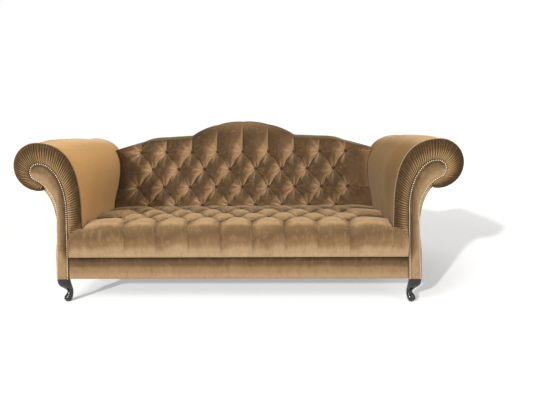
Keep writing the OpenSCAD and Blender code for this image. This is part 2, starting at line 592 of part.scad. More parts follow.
// Seat suspension
module clip() {
    inner = wire_t + 2 * clr;
    side_plate(-spring_w * 0.2, spring_w * 0.2, [[0, 0], [clip_d, 0], [clip_d, inner + 2 * clip_t],
        [clip_d * 0.3, inner + 2 * clip_t], [clip_d * 0.3, inner + clip_t], [clip_d - clip_t, inner + clip_t],
        [clip_d - clip_t, clip_t], [0, clip_t]]);
}
clip_y = board_back - clip_d * 1.3;
rear_clip_y = before_rear(rail_top, stile_t) + clip_d * 1.3;
spring_end = frame_x - web_w - spring_w * 0.6;
function spring_x(i) = mix(-spring_end, spring_end, i / (springs - 1));
module spring_clips() {
    color("#8d9196") for (i = [0:springs - 1]) {
        translate([spring_x(i), clip_y, rail_top]) mirror([0, 1, 0]) translate([0, -clip_d, 0]) clip();
        translate([spring_x(i), rear_clip_y - clip_d, rail_top]) clip();
    }
}
module seat_springs() {
    y0 = clip_y + clip_t + clr;
    y1 = rear_clip_y - clip_t - clr - wire_t;
    n = 24;
    color("#5c6066") for (i = [0:springs - 1]) translate([spring_x(i), 0, spring_z]) linear_extrude(wire_t) {
        for (k = [0:n]) translate([-spring_w / 2, mix(y0, y1, k / n)]) square([spring_w, wire_t]);
        for (k = [0:n - 1]) translate([k % 2 == 0 ? spring_w / 2 - wire_t : -spring_w / 2, mix(y0, y1, k / n)])
            square([wire_t, (y1 - y0) / n + wire_t / 2]);
    }
}
module seat_hessian() {
    color("#b7a07a") sloped_plate(-frame_x + clr, frame_x - clr, board_y + clr, hessian_z, hessian_z + cloth_t, stile_t);
}
module seat_stuffing() {
    x = arm_in_x - 2 * clr;
    color("#d8cfb4") sloped_plate(-x, x, front_y + front_row_d + clr, hessian_z + cloth_t + clr, pad_z, pad_back_t);
}

// Outer covers
module front_rail_cover() {
    z1 = roll_z - 3 * clr;
    x0 = facing_in(base_z) - 2 * clr;
    x1 = facing_in(z1) - 2 * clr;
    color("#9a7443") upright(board_y - clr - skin_t, skin_t, [[-x0, base_z], [x0, base_z], [x1, z1], [-x1, z1]]);
}
module outside_arm(side) {
    line = outer_path();
    color("#8a6636") both(side) intersection() {
        upright(board_y, overall_d, concat(line, reversed(shifted(line, skin_t))));
        sloped_plate(0, overall_w, board_y, base_z, back_h, frame_front);
    }
}
module outside_arm_left() { outside_arm(-1); }
module outside_arm_right() { outside_arm(1); }
module arm_end(side) {
    color("#8a6636") both(side) raked(0, skin_t, concat(arm_path(base_z), outer_path()));
}
module arm_end_left() { arm_end(-1); }
module arm_end_right() { arm_end(1); }
module outside_back() {
    drop = crest_pad_t * 0.55;
    right = concat([for (p = camel_half(0)) if (p.x < arm_in_x + arm_w * 0.12) [p.x, p.y - drop]],
        reversed([for (p = shifted(concat([[arm_in_x, base_z]], arm_curl), -2 * clr))
            if (p.y < camel_end_h - 3 * drop) p]));
    color("#8a6636") raked(0, skin_t, concat(right, reversed([for (p = right) if (p.x > 0) [-p.x, p.y]])));
}
module dust_cover() {
    x = arm_out_x - skin_t * 2;
    x1 = foot_x - foot_w * 0.75;
    y0 = board_y;
    y1 = before_rear(base_z, frame_front) - clr;
    color("#2b2a2a") translate([0, 0, base_z - cloth_t * 0.6]) linear_extrude(cloth_t * 0.6 - clr / 10) polygon([
        [-x1, y0], [x1, y0], [x1, foot_y + foot_w], [x, foot_y + foot_w], [x, rear_foot_y - foot_w],
        [x1, rear_foot_y - foot_w], [x1, y1], [-x1, y1], [-x1, rear_foot_y - foot_w], [-x, rear_foot_y - foot_w],
        [-x, foot_y + foot_w], [-x1, foot_y + foot_w]]);
}

// Feet
foot_x = fin_x + foot_w * 0.66;
foot_y = face_y + foot_w * 0.6;
bolt_y = max(foot_y, board_back + bolt_d);
rear_foot_y = before_rear(base_z, stile_t) - foot_w * 0.3;
// Height, place of the inner corner and width of each section, as shares of the foot's height and width
cabriole_shares = [[1, 0, 1], [0.9, -0.02, 1.04], [0.8, -0.05, 1.05], [0.7, -0.08, 1], [0.6, -0.11, 0.84],
    [0.5, -0.13, 0.64], [0.42, -0.14, 0.54], [0.34, -0.14, 0.55], [0.26, -0.14, 0.68], [0.18, -0.12, 0.76],
    [0.1, -0.07, 0.72], [0.04, 0, 0.56], [0, 0.05, 0.44]];
function section(w, z, power, x0, y0) = [for (k = [0:15]) let (a = k * 22.5, c = cos(a), s = sin(a))
    [x0 + w / 2 + w / 2 * sign(c) * pow(abs(c), power), y0 - w / 2 + w / 2 * sign(s) * pow(abs(s), power), z]];
module front_foot(side) {
    x = foot_x - foot_w / 2;
    y = foot_y + foot_w / 2;
    color("#151515") both(side) difference() {
        skin([for (i = [0:len(cabriole_shares) - 1]) let (q = cabriole_shares[i])
            section(q.z * foot_w, q.x * foot_h, mix(0.62, 1, 1 - q.x), x + q.y * foot_w, y - q.y * foot_w)]);
        bolt_hole();
    }
}
module front_foot_left() { front_foot(-1); }
module front_foot_right() { front_foot(1); }
rear_shares = [[1, 0, 0.94], [0.8, -0.08, 0.86], [0.45, -0.22, 0.66], [0.12, -0.42, 0.5], [0, -0.5, 0.5]];
module rear_foot(side) {
    x = foot_x - foot_w / 2;
    y = rear_foot_y + foot_w / 2;
    color("#151515") both(side) difference() {
        skin([for (i = [0:len(rear_shares) - 1]) let (q = rear_shares[i])
            section(q.z * foot_w, q.x * foot_h, 0.45, x - q.y * foot_w * 0.2, y - q.y * foot_w)]);
        rear_bolt_hole();
    }
}
module rear_foot_left() { rear_foot(-1); }
module rear_foot_right() { rear_foot(1); }
bolt_z = foot_h - bolt_l * 0.6;
module bolt_hole() {
    translate([foot_x, bolt_y, bolt_z - clr]) cylinder(h = bolt_l * 2, d = bolt_d + 2 * clr, $fn = 32);
}
module rear_bolt_hole() {
    translate([foot_x, rear_foot_y, bolt_z - clr]) cylinder(h = bolt_l * 2, d = bolt_d + 2 * clr, $fn = 32);
}
module foot_bolts() {
    color("#8d9196") for (s = [-1, 1], y = [bolt_y, rear_foot_y]) translate([s * foot_x, y, bolt_z])
        cylinder(h = bolt_l, d = bolt_d, $fn = 32);
}

front_rail();
back_rail();
side_rail_left();
side_rail_right();
seat_stretchers();
foot_blocks();
arm_board_left();
arm_board_right();
arm_rear_board_left();
arm_rear_board_right();
arm_top_rail_left();
arm_top_rail_right();
arm_scroll_rail_left();
arm_scroll_rail_right();
arm_tack_rail_left();
arm_tack_rail_right();
crest_rail();
back_post_left();
back_post_right();
back_tack_rail();
back_slats();
back_webbing();
back_hessian();
arm_hessian_left();
arm_hessian_right();
spring_clips();
seat_springs();
seat_hessian();
seat_stuffing();
seat_pad();
seat_front_roll();
back_pad();
arm_pad_left();
arm_pad_right();
pleated_border_left();
pleated_border_right();
welt_left();
welt_right();
facing_left();
facing_right();
nail_trim_left();
nail_trim_right();
back_buttons();
seat_buttons();
front_rail_cover();
outside_arm_left();
outside_arm_right();
arm_end_left();
arm_end_right();
outside_back();
dust_cover();
front_foot_left();
front_foot_right();
rear_foot_left();
rear_foot_right();
foot_bolts();
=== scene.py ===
"""Three-seat chesterfield sofa with a camel back, scroll arms and deep diamond buttoning, in golden velvet."""

import json
import logging
import math
from dataclasses import dataclass, field
from enum import Enum, IntEnum
from typing import Optional, Sequence

import bmesh
import bpy
import numpy as np
from mathutils import Matrix, Vector
from mathutils.geometry import tessellate_polygon


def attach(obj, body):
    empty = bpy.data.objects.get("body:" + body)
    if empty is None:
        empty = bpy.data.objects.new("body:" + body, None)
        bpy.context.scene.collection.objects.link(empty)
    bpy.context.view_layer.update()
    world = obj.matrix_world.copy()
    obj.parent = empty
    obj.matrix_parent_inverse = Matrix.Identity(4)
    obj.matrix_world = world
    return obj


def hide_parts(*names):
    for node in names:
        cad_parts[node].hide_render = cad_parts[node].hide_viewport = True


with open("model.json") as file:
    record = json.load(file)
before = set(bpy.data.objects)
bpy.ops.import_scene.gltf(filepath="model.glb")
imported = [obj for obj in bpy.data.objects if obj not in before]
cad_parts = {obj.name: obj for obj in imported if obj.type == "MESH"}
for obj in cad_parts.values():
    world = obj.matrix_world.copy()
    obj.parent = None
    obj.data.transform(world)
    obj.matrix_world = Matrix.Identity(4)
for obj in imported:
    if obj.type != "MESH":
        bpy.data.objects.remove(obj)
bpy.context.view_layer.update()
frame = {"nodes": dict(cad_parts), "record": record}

LOG = logging.getLogger("sofa")
BODY = "root"

Points = np.ndarray


class Seed(IntEnum):
    """Seeds of each piece's unevenness; a piece of one side adds that side's number."""

    BACK_TUFTS = 5
    SEAT_TUFTS = 11
    BUTTONS = 21
    ARM_WAVES = 31
    ARM_RIPPLES = 41
    BORDER = 60
    WELT = 71
    NAILS = 80
    RAIL_WAVES = 91
    RAIL_RIPPLES = 92
    OUTSIDE_ARM = 95
    BACK_WAVES = 99
    BACK_RIPPLES = 100


# Shapes of curves


def mix(a: Points, b: Points, t: Points) -> Points:
    """Blend from a to b.

    Args:
        a: Value at share 0.
        b: Value at share 1.
        t: Share between the two.

    Returns:
        The blended value.
    """
    return a + (b - a) * t


def ease(t: Points) -> Points:
    """Smooth step from 0 to 1.

    Args:
        t: Share, clamped to 0..1.

    Returns:
        The eased share.
    """
    u = np.clip(t, 0.0, 1.0)
    return u * u * (3.0 - 2.0 * u)


def cubic(a: Sequence[float], b: Sequence[float], c: Sequence[float], d: Sequence[float], n: int) -> Points:
    """Sample a cubic curve, without its last point.

    Args:
        a: Start point.
        b: First handle.
        c: Second handle.
        d: End point.
        n: Number of points.

    Returns:
        Points as rows of x and z.
    """
    a, b, c, d = (np.asarray(p, float) for p in (a, b, c, d))
    t = (np.arange(n) / n)[:, None]
    s = 1.0 - t
    return a * s ** 3 + 3.0 * b * s * s * t + 3.0 * c * s * t * t + d * t ** 3


def arc(x: float, z: float, r: float, start: float, stop: float, n: int) -> Points:
    """Sample an arc.

    Args:
        x: Centre's x.
        z: Centre's z.
        r: Radius.
        start: First angle in degrees.
        stop: Last angle in degrees.
        n: Number of steps.

    Returns:
        Points as rows of x and z.
    """
    t = np.radians(np.linspace(start, stop, n + 1))
    return np.stack([x + r * np.cos(t), z + r * np.sin(t)], axis=1)


def shifted(path: Points, d: float) -> Points:
    """Move a path sideways, to the right of its direction where d is positive.

    Args:
        path: Points as rows of x and z.
        d: Distance.

    Returns:
        The moved points.
    """
    q = np.empty_like(path)
    q[1:-1] = path[2:] - path[:-2]
    q[0] = path[1] - path[0]
    q[-1] = path[-1] - path[-2]
    q /= np.linalg.norm(q, axis=1)[:, None]
    return path + d * np.stack([q[:, 1], -q[:, 0]], axis=1)


def runs(path: Points) -> Points:
    """Running length along a path.

    Args:
        path: Points as rows.

    Returns:
        One length for each point.
    """
    return np.concatenate([[0.0], np.cumsum(np.linalg.norm(np.diff(path, axis=0), axis=1))])


def even(path: Points, n: int) -> Points:
    """Resample a path at even lengths.

    Args:
        path: Points as rows.
        n: Number of steps.

    Returns:
        The n + 1 resampled points.
    """
    r = runs(path)
    s = np.linspace(0.0, r[-1], n + 1)
    return np.stack([np.interp(s, r, path[:, k]) for k in range(path.shape[1])], axis=1)


def spline_rows(control: Points, per_span: int) -> Points:
    """Round curve through the control points of many sections at once.

    Args:
        control: Array of sections by points by coordinates.
        per_span: Samples between two neighbouring points.

    Returns:
        Array of sections by samples by coordinates, with the last point included.
    """
    first = 2.0 * control[:, :1] - control[:, 1:2]
    last = 2.0 * control[:, -1:] - control[:, -2:-1]
    p = np.concatenate([first, control, last], axis=1)
    rows = []
    for i in range(control.shape[1] - 1):
        p0, p1, p2, p3 = (p[:, i + k] for k in range(4))
        for t in np.arange(per_span) / per_span:
            rows.append(0.5 * (2.0 * p1 + (p2 - p0) * t + (2.0 * p0 - 5.0 * p1 + 4.0 * p2 - p3) * t * t
                               + (3.0 * p1 - p0 - 3.0 * p2 + p3) * t ** 3))
    rows.append(control[:, -1])
    return np.stack(rows, axis=1)


# Sizes and outlines


@dataclass(frozen=True)
class Sizes:
    """Driving sizes of the sofa in metres and degrees, the same as the frame's."""

    overall_w: float = 2.276
    overall_d: float = 0.930
    back_h: float = 0.955
    arm_h: float = 0.846
    seat_h: float = 0.450
    foot_h: float = 0.134
    scroll_r: float = 0.121
    arm_in_x: float = 0.803
    neck_z: float = 0.515
    arm_out_x: float = 0.954
    arm_waist_x: float = 0.932
    arm_pad_t: float = 0.024
    arm_swell: float = 0.018
    arm_crown: float = 0.016
    facing_r: float = 0.047
    facing_w: float = 0.061
    facing_t: float = 0.012
    border_proud: float = 0.007
    welt_r: float = 0.0036
    rake: float = 10.5
    shoulder_h: float = 0.859
    camel_end_h: float = 0.782
    notch_x: float = 0.341
    notch_h: float = 0.866
    crest_pad_t: float = 0.024
    top_row_z: float = 0.757
    top_row_d: float = 0.786
    row_rise: float = 0.108
    back_puff: float = 0.048
    pitch: float = 0.166
    crease_d: float = 0.592
    front_row_d: float = 0.112
    seat_puff: float = 0.029
    seat_fall: float = 0.010
    nose_out: float = 0.018
    roll_z: float = 0.250
    channel: float = 0.009
    pad_z: float = 0.362
    button_r: float = 0.009
    wood_t: float = 0.026
    skin_t: float = 0.005
    nail_pitch: float = 0.0104
    nail_r: float = 0.0032
    foot_w: float = 0.058
    slack: float = 0.006
    clr: float = 0.0003

    @property
    def front_y(self) -> float:
        """Y of the front roll."""
        return -self.overall_d / 2

    @property
    def face_y(self) -> float:
        """Y of the facings' front."""
        return self.front_y + self.nose_out

    @property
    def board_y(self) -> float:
        """Y of the arm boards' front."""
        return self.face_y + self.facing_t + self.clr

    @property
    def crease_y(self) -> float:
        """Y of the crease between seat and back."""
        return self.front_y + self.crease_d

    @property
    def crease_z(self) -> float:
        """Height of the back's lowest row of buttons."""
        return self.top_row_z - 3 * self.row_rise

    @property
    def nose_z(self) -> float:
        """Height of the front roll's crown."""
        return self.seat_h - self.seat_fall

    @property
    def border_z(self) -> float:
        """Height at which the border and the welt begin, behind the front roll."""
        return mix(self.roll_z, self.nose_z, 0.45)

    @property
    def ear_tip_z(self) -> float:
        """Height at which the front roll's ear reaches the facing."""
        return mix(self.roll_z, self.nose_z, 0.55)

    @property
    def stile_t(self) -> float:
        """Depth from the sofa's rear to the padding: cover, wood and some slack."""
        return self.wood_t + self.skin_t + self.slack

    def seat_z(self, v: Points) -> Points:
        """Height of the seat's buttons at a row counted from the front."""
        return self.seat_h - self.seat_puff - self.seat_fall * (5.0 - v) / 4.0

    @property
    def half(self) -> float:
        """Half the distance between buttons."""
        return self.pitch / 2

    @property
    def edge(self) -> float:
        """X of the outermost column of buttons."""
        return 4 * self.pitch

    @property
    def roll_edge(self) -> float:
        """X at which the front roll meets the arm's welt."""
        return self.arm_in_x - 2 * self.welt_r

    def before_rear(self, z: Points, t: float) -> Points:
        """Y of a plane before the outside back.

        Args:
            z: Height.
            t: Distance square to the slope.

        Returns:
            The plane's y at that height.
        """
        slope = math.radians(self.rake)
        return self.overall_d / 2 - (self.back_h - z) * math.tan(slope) - t / math.cos(slope)


class Outlines:
    """Outlines of arms, facings and camel back, from the sizes.

    Args:
        s: The sofa's sizes.
    """

    CURL_STEPS = 44
    HEAD_STEPS = 60
    UNDER_ANGLE = 100.0

    def __init__(self, s: Sizes) -> None:
        self.s = s
        self.head_x = s.overall_w / 2 - s.scroll_r
        self.head_z = s.arm_h - s.scroll_r
        self.fhead_x = self.head_x - s.facing_r * 0.21
        self.fhead_z = self.head_z - s.facing_r * 0.57
        self.fin_x = s.arm_out_x - s.skin_t - 2 * s.clr - s.facing_w
        self.fneck_x = self.fin_x - s.facing_w * 0.25
        self.fneck_out = self.fneck_x + s.facing_w * 0.905
        self.swell_z = s.neck_z - s.scroll_r / 2
        self.arm_curl = cubic([s.arm_in_x, s.neck_z], [s.arm_in_x, mix(s.neck_z, s.arm_h, 0.62)],
                              [mix(s.arm_in_x, self.head_x, 0.25), s.arm_h], [self.head_x, s.arm_h], self.CURL_STEPS)
        self.arm_head = arc(self.head_x, self.head_z, s.scroll_r, 90.0, -self.UNDER_ANGLE, self.HEAD_STEPS)
        self.neck_top = np.array([self.head_x - s.scroll_r * 0.2, self.head_z - s.scroll_r * 0.97])
        self.facing_curl = cubic([self.fneck_x, s.neck_z - s.facing_r * 0.3],
                                 [self.fneck_x - s.skin_t / 2, mix(s.neck_z, self.fhead_z, 0.55)],
                                 [mix(self.fneck_x, self.fhead_x, 0.32), self.fhead_z + s.facing_r],
                                 [self.fhead_x, self.fhead_z + s.facing_r], 30)
        self.facing_head = arc(self.fhead_x, self.fhead_z, s.facing_r, 90.0, -65.0, 26)
        self.facing_neck = cubic(self.facing_head[-1],
                                 [self.fhead_x - s.facing_r * 0.5, self.fhead_z - s.facing_r * 1.25],
                                 [self.fneck_out, mix(s.neck_z, self.fhead_z, 0.33)],
                                 [self.fneck_out, s.neck_z - s.facing_r * 0.6], 24)
        self.camel = self._camel()
        side = np.concatenate([[[s.arm_in_x, s.foot_h], [s.arm_in_x, self.swell_z]], self.arm_curl, self.arm_head[:1]])
        self.side_z = side[:, 1]
        self.side_in = side[:, 0] - self.swell(side[:, 1])

    def _camel(self) -> Points:
        """Top line of the camel back from the middle to an arm.

        Returns:
            Points as rows of x and z.
        """
        s = self.s
        drop = s.back_h - s.notch_h
        e = s.overall_w * 0.369
        mid = [mix(s.notch_x, e, 0.62), s.shoulder_h - drop * 0.26]
        return np.concatenate([
            cubic([0, s.back_h], [s.notch_x * 0.4, s.back_h], [s.notch_x * 0.75, s.notch_h + drop * 0.58],
                  [s.notch_x, s.notch_h], 24),
            cubic([s.notch_x, s.notch_h], [mix(s.notch_x, e, 0.22), s.shoulder_h - drop * 0.06],
                  [mix(s.notch_x, e, 0.46), s.shoulder_h + drop * 0.08], mid, 20),
            cubic(mid, [mix(s.notch_x, e, 0.75), mix(s.shoulder_h, s.camel_end_h, 0.62)],
                  [mix(s.notch_x, e, 0.9), mix(s.shoulder_h, s.camel_end_h, 0.82)], [e, s.camel_end_h], 16),
            [[e, s.camel_end_h], [e * 1.1, s.camel_end_h - drop * 0.4]]])

    def camel_z(self, x: Points) -> Points:
        """Height of the camel back's top at a distance from the middle."""
        return np.interp(np.abs(x), self.camel[:, 0], self.camel[:, 1])

    def swell(self, z: Points) -> Points:
        """How far the arm's inside swells inwards.

        Args:
            z: Height.

        Returns:
            The swell at that height.
        """
        s = self.s
        return (s.arm_swell * ease((z - self.swell_z) / (s.scroll_r * 2.2))
                * ease((s.arm_h - z + s.scroll_r / 10) / (s.scroll_r / 2)))

    def side_x(self, z: Points) -> Points:
        """X of the arm's inside where the back meets it."""
        return np.interp(z, self.side_z, self.side_in)

    def arm_path(self, z0: float) -> Points:
        """Outline of the rolled arm: up the inside, over the head and round to the neck.

        Args:
            z0: Height of the first point.

        Returns:
            Points as rows of x and z.
        """
        s = self.s
        foot = np.array([[s.arm_in_x, z0], [s.arm_in_x, self.swell_z]])
        return np.concatenate([foot, self.arm_curl, self.arm_head])

    def outer_path(self, n: int = 24) -> Points:
        """Outside of the arm, from under the scroll down to the foot.

        Args:
            n: Points on the curved part.

        Returns:
            Points as rows of x and z.
        """
        s = self.s
        top = self.neck_top
        waist = [s.arm_waist_x, mix(s.foot_h, s.neck_z, 0.76)]
        foot = [mix(s.arm_waist_x, s.arm_out_x, 0.8), mix(s.foot_h, s.neck_z, 0.26)]
        neck = cubic(top, [mix(waist[0], top[0], 0.52), top[1] - s.scroll_r * 0.24],
                     [waist[0] + s.skin_t, s.neck_z + s.scroll_r * 0.12], waist, n)
        flare = cubic(waist, [waist[0], mix(s.foot_h, s.neck_z, 0.63)],
                      [foot[0], mix(s.foot_h, s.neck_z, 0.45)], foot, n // 2)
        return np.concatenate([neck, flare, [foot, [s.arm_out_x, s.foot_h]]])

    def facing_path(self, z0: float) -> Points:
        """Edge of a facing, up the inner side, round the head and down the outer side.

        Args:
            z0: Height of its foot.

        Returns:
            Points as rows of x and z.
        """
        s = self.s
        return np.concatenate([[[self.fin_x, z0]], self.facing_curl, self.facing_head, self.facing_neck[1:],
                               [[self.fneck_out, s.neck_z - s.facing_r * 0.6], [self.fin_x + s.facing_w, z0]]])

    def facing_in(self, z: Points) -> Points:
        """X of the facing's inner edge under its neck."""
        s = self.s
        return mix(self.fin_x, self.fneck_x, (z - s.foot_h) / (self.facing_curl[0, 1] - s.foot_h))

    def roll_top(self, f: Points) -> Points:
        """Height of the front roll's crown at a share of the way from the outer buttons to the arm."""
        return self.s.nose_z - 0.026 * f ** 3

    def ear_z(self, x: Points) -> Points:
        """Height of the front roll's ear before an arm.

        Args:
            x: Distance from the middle of the sofa.

        Returns:
            The height of the ear's top there.
        """
        s = self.s
        end = self.facing_in(s.ear_tip_z)
        q = np.maximum(0.0, (np.abs(x) - s.roll_edge) / (end - s.roll_edge))
        return self.roll_top(np.array(1.0)) - 0.060 * q ** 1.7


# Meshes


def add_object(name: str, verts: Points, faces: Sequence[Sequence[int]], smooth: bool = True) -> bpy.types.Object:
    """Make a mesh object and link it to the scene.

    Args:
        name: Object's name.
        verts: Points as rows of x, y and z in metres.
        faces: Vertex numbers of each face.
        smooth: Whether the faces are shaded smooth.

    Returns:
        The new object.
    """
    mesh = bpy.data.meshes.new(name)
    mesh.from_pydata([tuple(v) for v in verts], [], [tuple(f) for f in faces])
    mesh.validate()
    if smooth:
        mesh.polygons.foreach_set("use_smooth", [True] * len(mesh.polygons))
    obj = bpy.data.objects.new(name, mesh)
    bpy.context.scene.collection.objects.link(obj)
    return obj


def grid_faces(rows: int, cols: int, wrap: bool = False, base: int = 0) -> list[tuple[int, ...]]:
    """Quads of a grid of points.

    Args:
        rows: Number of rows.
        cols: Points in a row.
        wrap: Whether each row closes on itself.
        base: Number of the first point.

    Returns:
        Faces as vertex numbers.
    """
    last = cols if wrap else cols - 1
    return [(base + i * cols + k, base + i * cols + (k + 1) % cols,
             base + (i + 1) * cols + (k + 1) % cols, base + (i + 1) * cols + k)
            for i in range(rows - 1) for k in range(last)]


def turn_out(obj: bpy.types.Object) -> None:
    """Turn all faces of an object outwards.

    Args:
        obj: The object.
    """
    bm = bmesh.new()
    bm.from_mesh(obj.data)
    bmesh.ops.recalc_face_normals(bm, faces=bm.faces)
    bm.to_mesh(obj.data)
    bm.free()


def closed_object(name: str, points: Points) -> bpy.types.Object:
    """Make a closed object from rows of points that close on themselves.

    Args:
        name: Object's name.
        points: Array of rows by columns by x, y and z.

    Returns:
        The new object, with its first and last rows filled and its faces turned outwards.
    """
    rows, cols = points.shape[:2]
    faces = grid_faces(rows, cols, wrap=True)
    faces += [tuple(range(cols)), tuple((rows - 1) * cols + k for k in reversed(range(cols)))]
    obj = add_object(name, points.reshape(-1, 3), faces)
    turn_out(obj)
    return obj


def close_domes(obj: bpy.types.Object, distance: float) -> None:
    """Merge the points that coincide at the top of each dome, and turn the faces outwards.

    Args:
        obj: The object.
        distance: Largest distance between two merged points.
    """
    bm = bmesh.new()
    bm.from_mesh(obj.data)
    bmesh.ops.remove_doubles(bm, verts=bm.verts, dist=distance)
    bm.to_mesh(obj.data)
    bm.free()
    turn_out(obj)


def mirror_points(points: Points, side: int) -> Points:
    """Mirror points to one side of the sofa.

    Args:
        points: Array whose last axis is x, y and z.
        side: -1 for the side with negative x, 1 for the other.

    Returns:
        The mirrored points.
    """
    out = points.copy()
    out[..., 0] *= side
    return out


def outward(skin: Points) -> Points:
    """Directions square to an arm's skin, in a plane of constant y.

    Args:
        skin: Array of rows along the arm by points round it by x, y and z.

    Returns:
        Unit vectors in the same layout.
    """
    d = np.gradient(skin, axis=1)
    normal = np.stack([-d[..., 2], np.zeros_like(d[..., 0]), d[..., 0]], 2)
    return normal / np.linalg.norm(normal, axis=2)[..., None]


def write_share(obj: bpy.types.Object, name: str, values: Points) -> None:
    """Store one number for each vertex, which a material can read.

    Args:
        obj: The object.
        name: Attribute's name.
        values: One value for each vertex.
    """
    layer = obj.data.attributes.new(name, "FLOAT", "POINT")
    layer.data.foreach_set("value", np.ascontiguousarray(values, dtype=np.float32).ravel())


def tube_points(path: Points, r: float, sides: int) -> Points:
    """Rings of a round cord along a path in a plane of constant y.

    Args:
        path: Points as rows of x, y and z.
        r: Radius.
        sides: Points in each ring.

    Returns:
        Array of rings by points by x, y and z.
    """
    d = np.gradient(path, axis=0)
    d /= np.linalg.norm(d, axis=1)[:, None]
    up = np.array([0.0, 1.0, 0.0])
    v = np.cross(d, up)
    v /= np.linalg.norm(v, axis=1)[:, None]
    a = np.linspace(0.0, 2.0 * math.pi, sides, endpoint=False)
    return path[:, None] + r * (np.cos(a)[None, :, None] * up + np.sin(a)[None, :, None] * v[:, None])


# Buttoned velvet


@dataclass(frozen=True)
class TuftShape:
    """How a buttoned field rises from its buttons.

    Args:
        fullness: Power of the round pillow; lower is fuller.
        crease: Height of the middle of a crease, as a share of the pillow's height.
        gather: Depth of the small folds that run out from a button, in metres.
        reach: How far those folds run, in metres.
        folds: Number of those folds round a button.
        bow: How far the creases bow upwards between two buttons, in half counts.
        uneven: How much the pillows differ in height.
    """

    fullness: float = 0.44
    crease: float = 0.36
    gather: float = 0.0024
    reach: float = 0.030
    folds: int = 9
    bow: float = 0.0
    uneven: float = 0.10


class TuftField:
    """Heights of a field of diamonds, whose buttons lie where both half counts add up to an even number.

    Args:
        s: The sofa's sizes.
        shape: How the field rises.
        spacing: Distance between two rows in metres.
        seed: Seed of the small folds.
    """

    OUTER_COLUMN = 8.0
    CELLS = 64

    def __init__(self, s: Sizes, shape: TuftShape, spacing: float, seed: int) -> None:
        self.s = s
        self.shape = shape
        self.spacing = spacing
        rng = np.random.RandomState(seed)
        self.phases = rng.uniform(0.0, 2.0 * math.pi, (self.CELLS, self.CELLS))
        self.sizes = 1.0 + shape.uneven * rng.uniform(-1.0, 1.0, (self.CELLS, self.CELLS))

    def columns(self, x: Points) -> Points:
        """Half counts across the sofa, which stop at the outermost buttons."""
        return np.clip(x / self.s.half, -self.OUTER_COLUMN, self.OUTER_COLUMN)

    def height(self, x: Points, v: Points) -> Points:
        """Height of the field, 0 at a button and 1 in the middle of a diamond.

        Args:
            x: Distance across the sofa.
            v: Half counts along the field.

        Returns:
            The heights.
        """
        u = self.columns(x)
        v = v - self.shape.bow * (np.sin(math.pi * u) * np.sin(math.pi * v)) ** 2
        a, b = (u + v) / 2.0, (u - v) / 2.0
        s, t = np.abs(np.sin(math.pi * a)), np.abs(np.sin(math.pi * b))
        low, high = np.minimum(s, t), np.maximum(s, t)
        size = self.sizes[np.floor(a).astype(int) % self.CELLS, np.floor(b).astype(int) % self.CELLS]
        pillow = size * (s * t) ** self.shape.fullness
        return (1.0 - self.shape.crease) * pillow + self.shape.crease * high ** 0.7 * (0.85 + 0.15 * low)

    def pulls(self, x: Points, v: Points, first: float = -99.0, last: float = 99.0) -> tuple[Points, Points, Points]:
        """Way from the nearest button.

        Args:
            x: Distance across the sofa.
            v: Half counts along the field.
            first: First row of buttons.
            last: Last row of buttons.

        Returns:
            The way across and along the field in metres, and the button's own phase.
        """
        row = np.clip(v, first, last)
        a = np.round((self.columns(x) + row) / 2.0)
        b = np.round((self.columns(x) - row) / 2.0)
        beyond = (a - b < first) | (a - b > last)
        dx = np.where(beyond, 1.0, x - (a + b) * self.s.half)
        dv = (v - (a - b)) * self.spacing
        return dx, dv, self.phases[a.astype(int) % self.CELLS, b.astype(int) % self.CELLS]

    def gathers(self, x: Points, v: Points) -> Points:
        """Small folds that run out from the nearest button.

        Args:
            x: Distance across the sofa.
            v: Half counts along the field.

        Returns:
            Rise in metres.
        """
        dx, dv, phase = self.pulls(x, v)
        r = np.hypot(dx, dv)
        spread = np.exp(-((r / self.shape.reach) ** 1.5)) * np.clip(r / self.s.button_r, 0.0, 1.0)
        angle = np.arctan2(dv, dx)
        return self.shape.gather * spread * (np.sin(self.shape.folds * angle + phase)
                                             + 0.5 * np.sin((self.shape.folds + 4) * angle - 2.0 * phase))


class Ripple:
    """Soft unevenness made of long waves in fixed random directions.

    Args:
        seed: Seed of the directions.
        length: Length of the shortest wave in metres.
        waves: Number of waves.
    """

    def __init__(self, seed: int, length: float, waves: int = 9) -> None:
        rng = np.random.RandomState(seed)
        self.k = rng.normal(size=(waves, 3))
        self.k /= np.linalg.norm(self.k, axis=1)[:, None]
        self.k *= (2.0 * math.pi / length) * rng.uniform(0.35, 1.0, (waves, 1))
        self.phase = rng.uniform(0.0, 2.0 * math.pi, waves)

    def at(self, points: Points) -> Points:
        """Value at points.

        Args:
            points: Array whose last axis is x, y and z.

        Returns:
            Values of about -1 to 1.
        """
        return np.sin(points @ self.k.T + self.phase).sum(axis=-1) / math.sqrt(len(self.phase) / 2.0) / 2.0


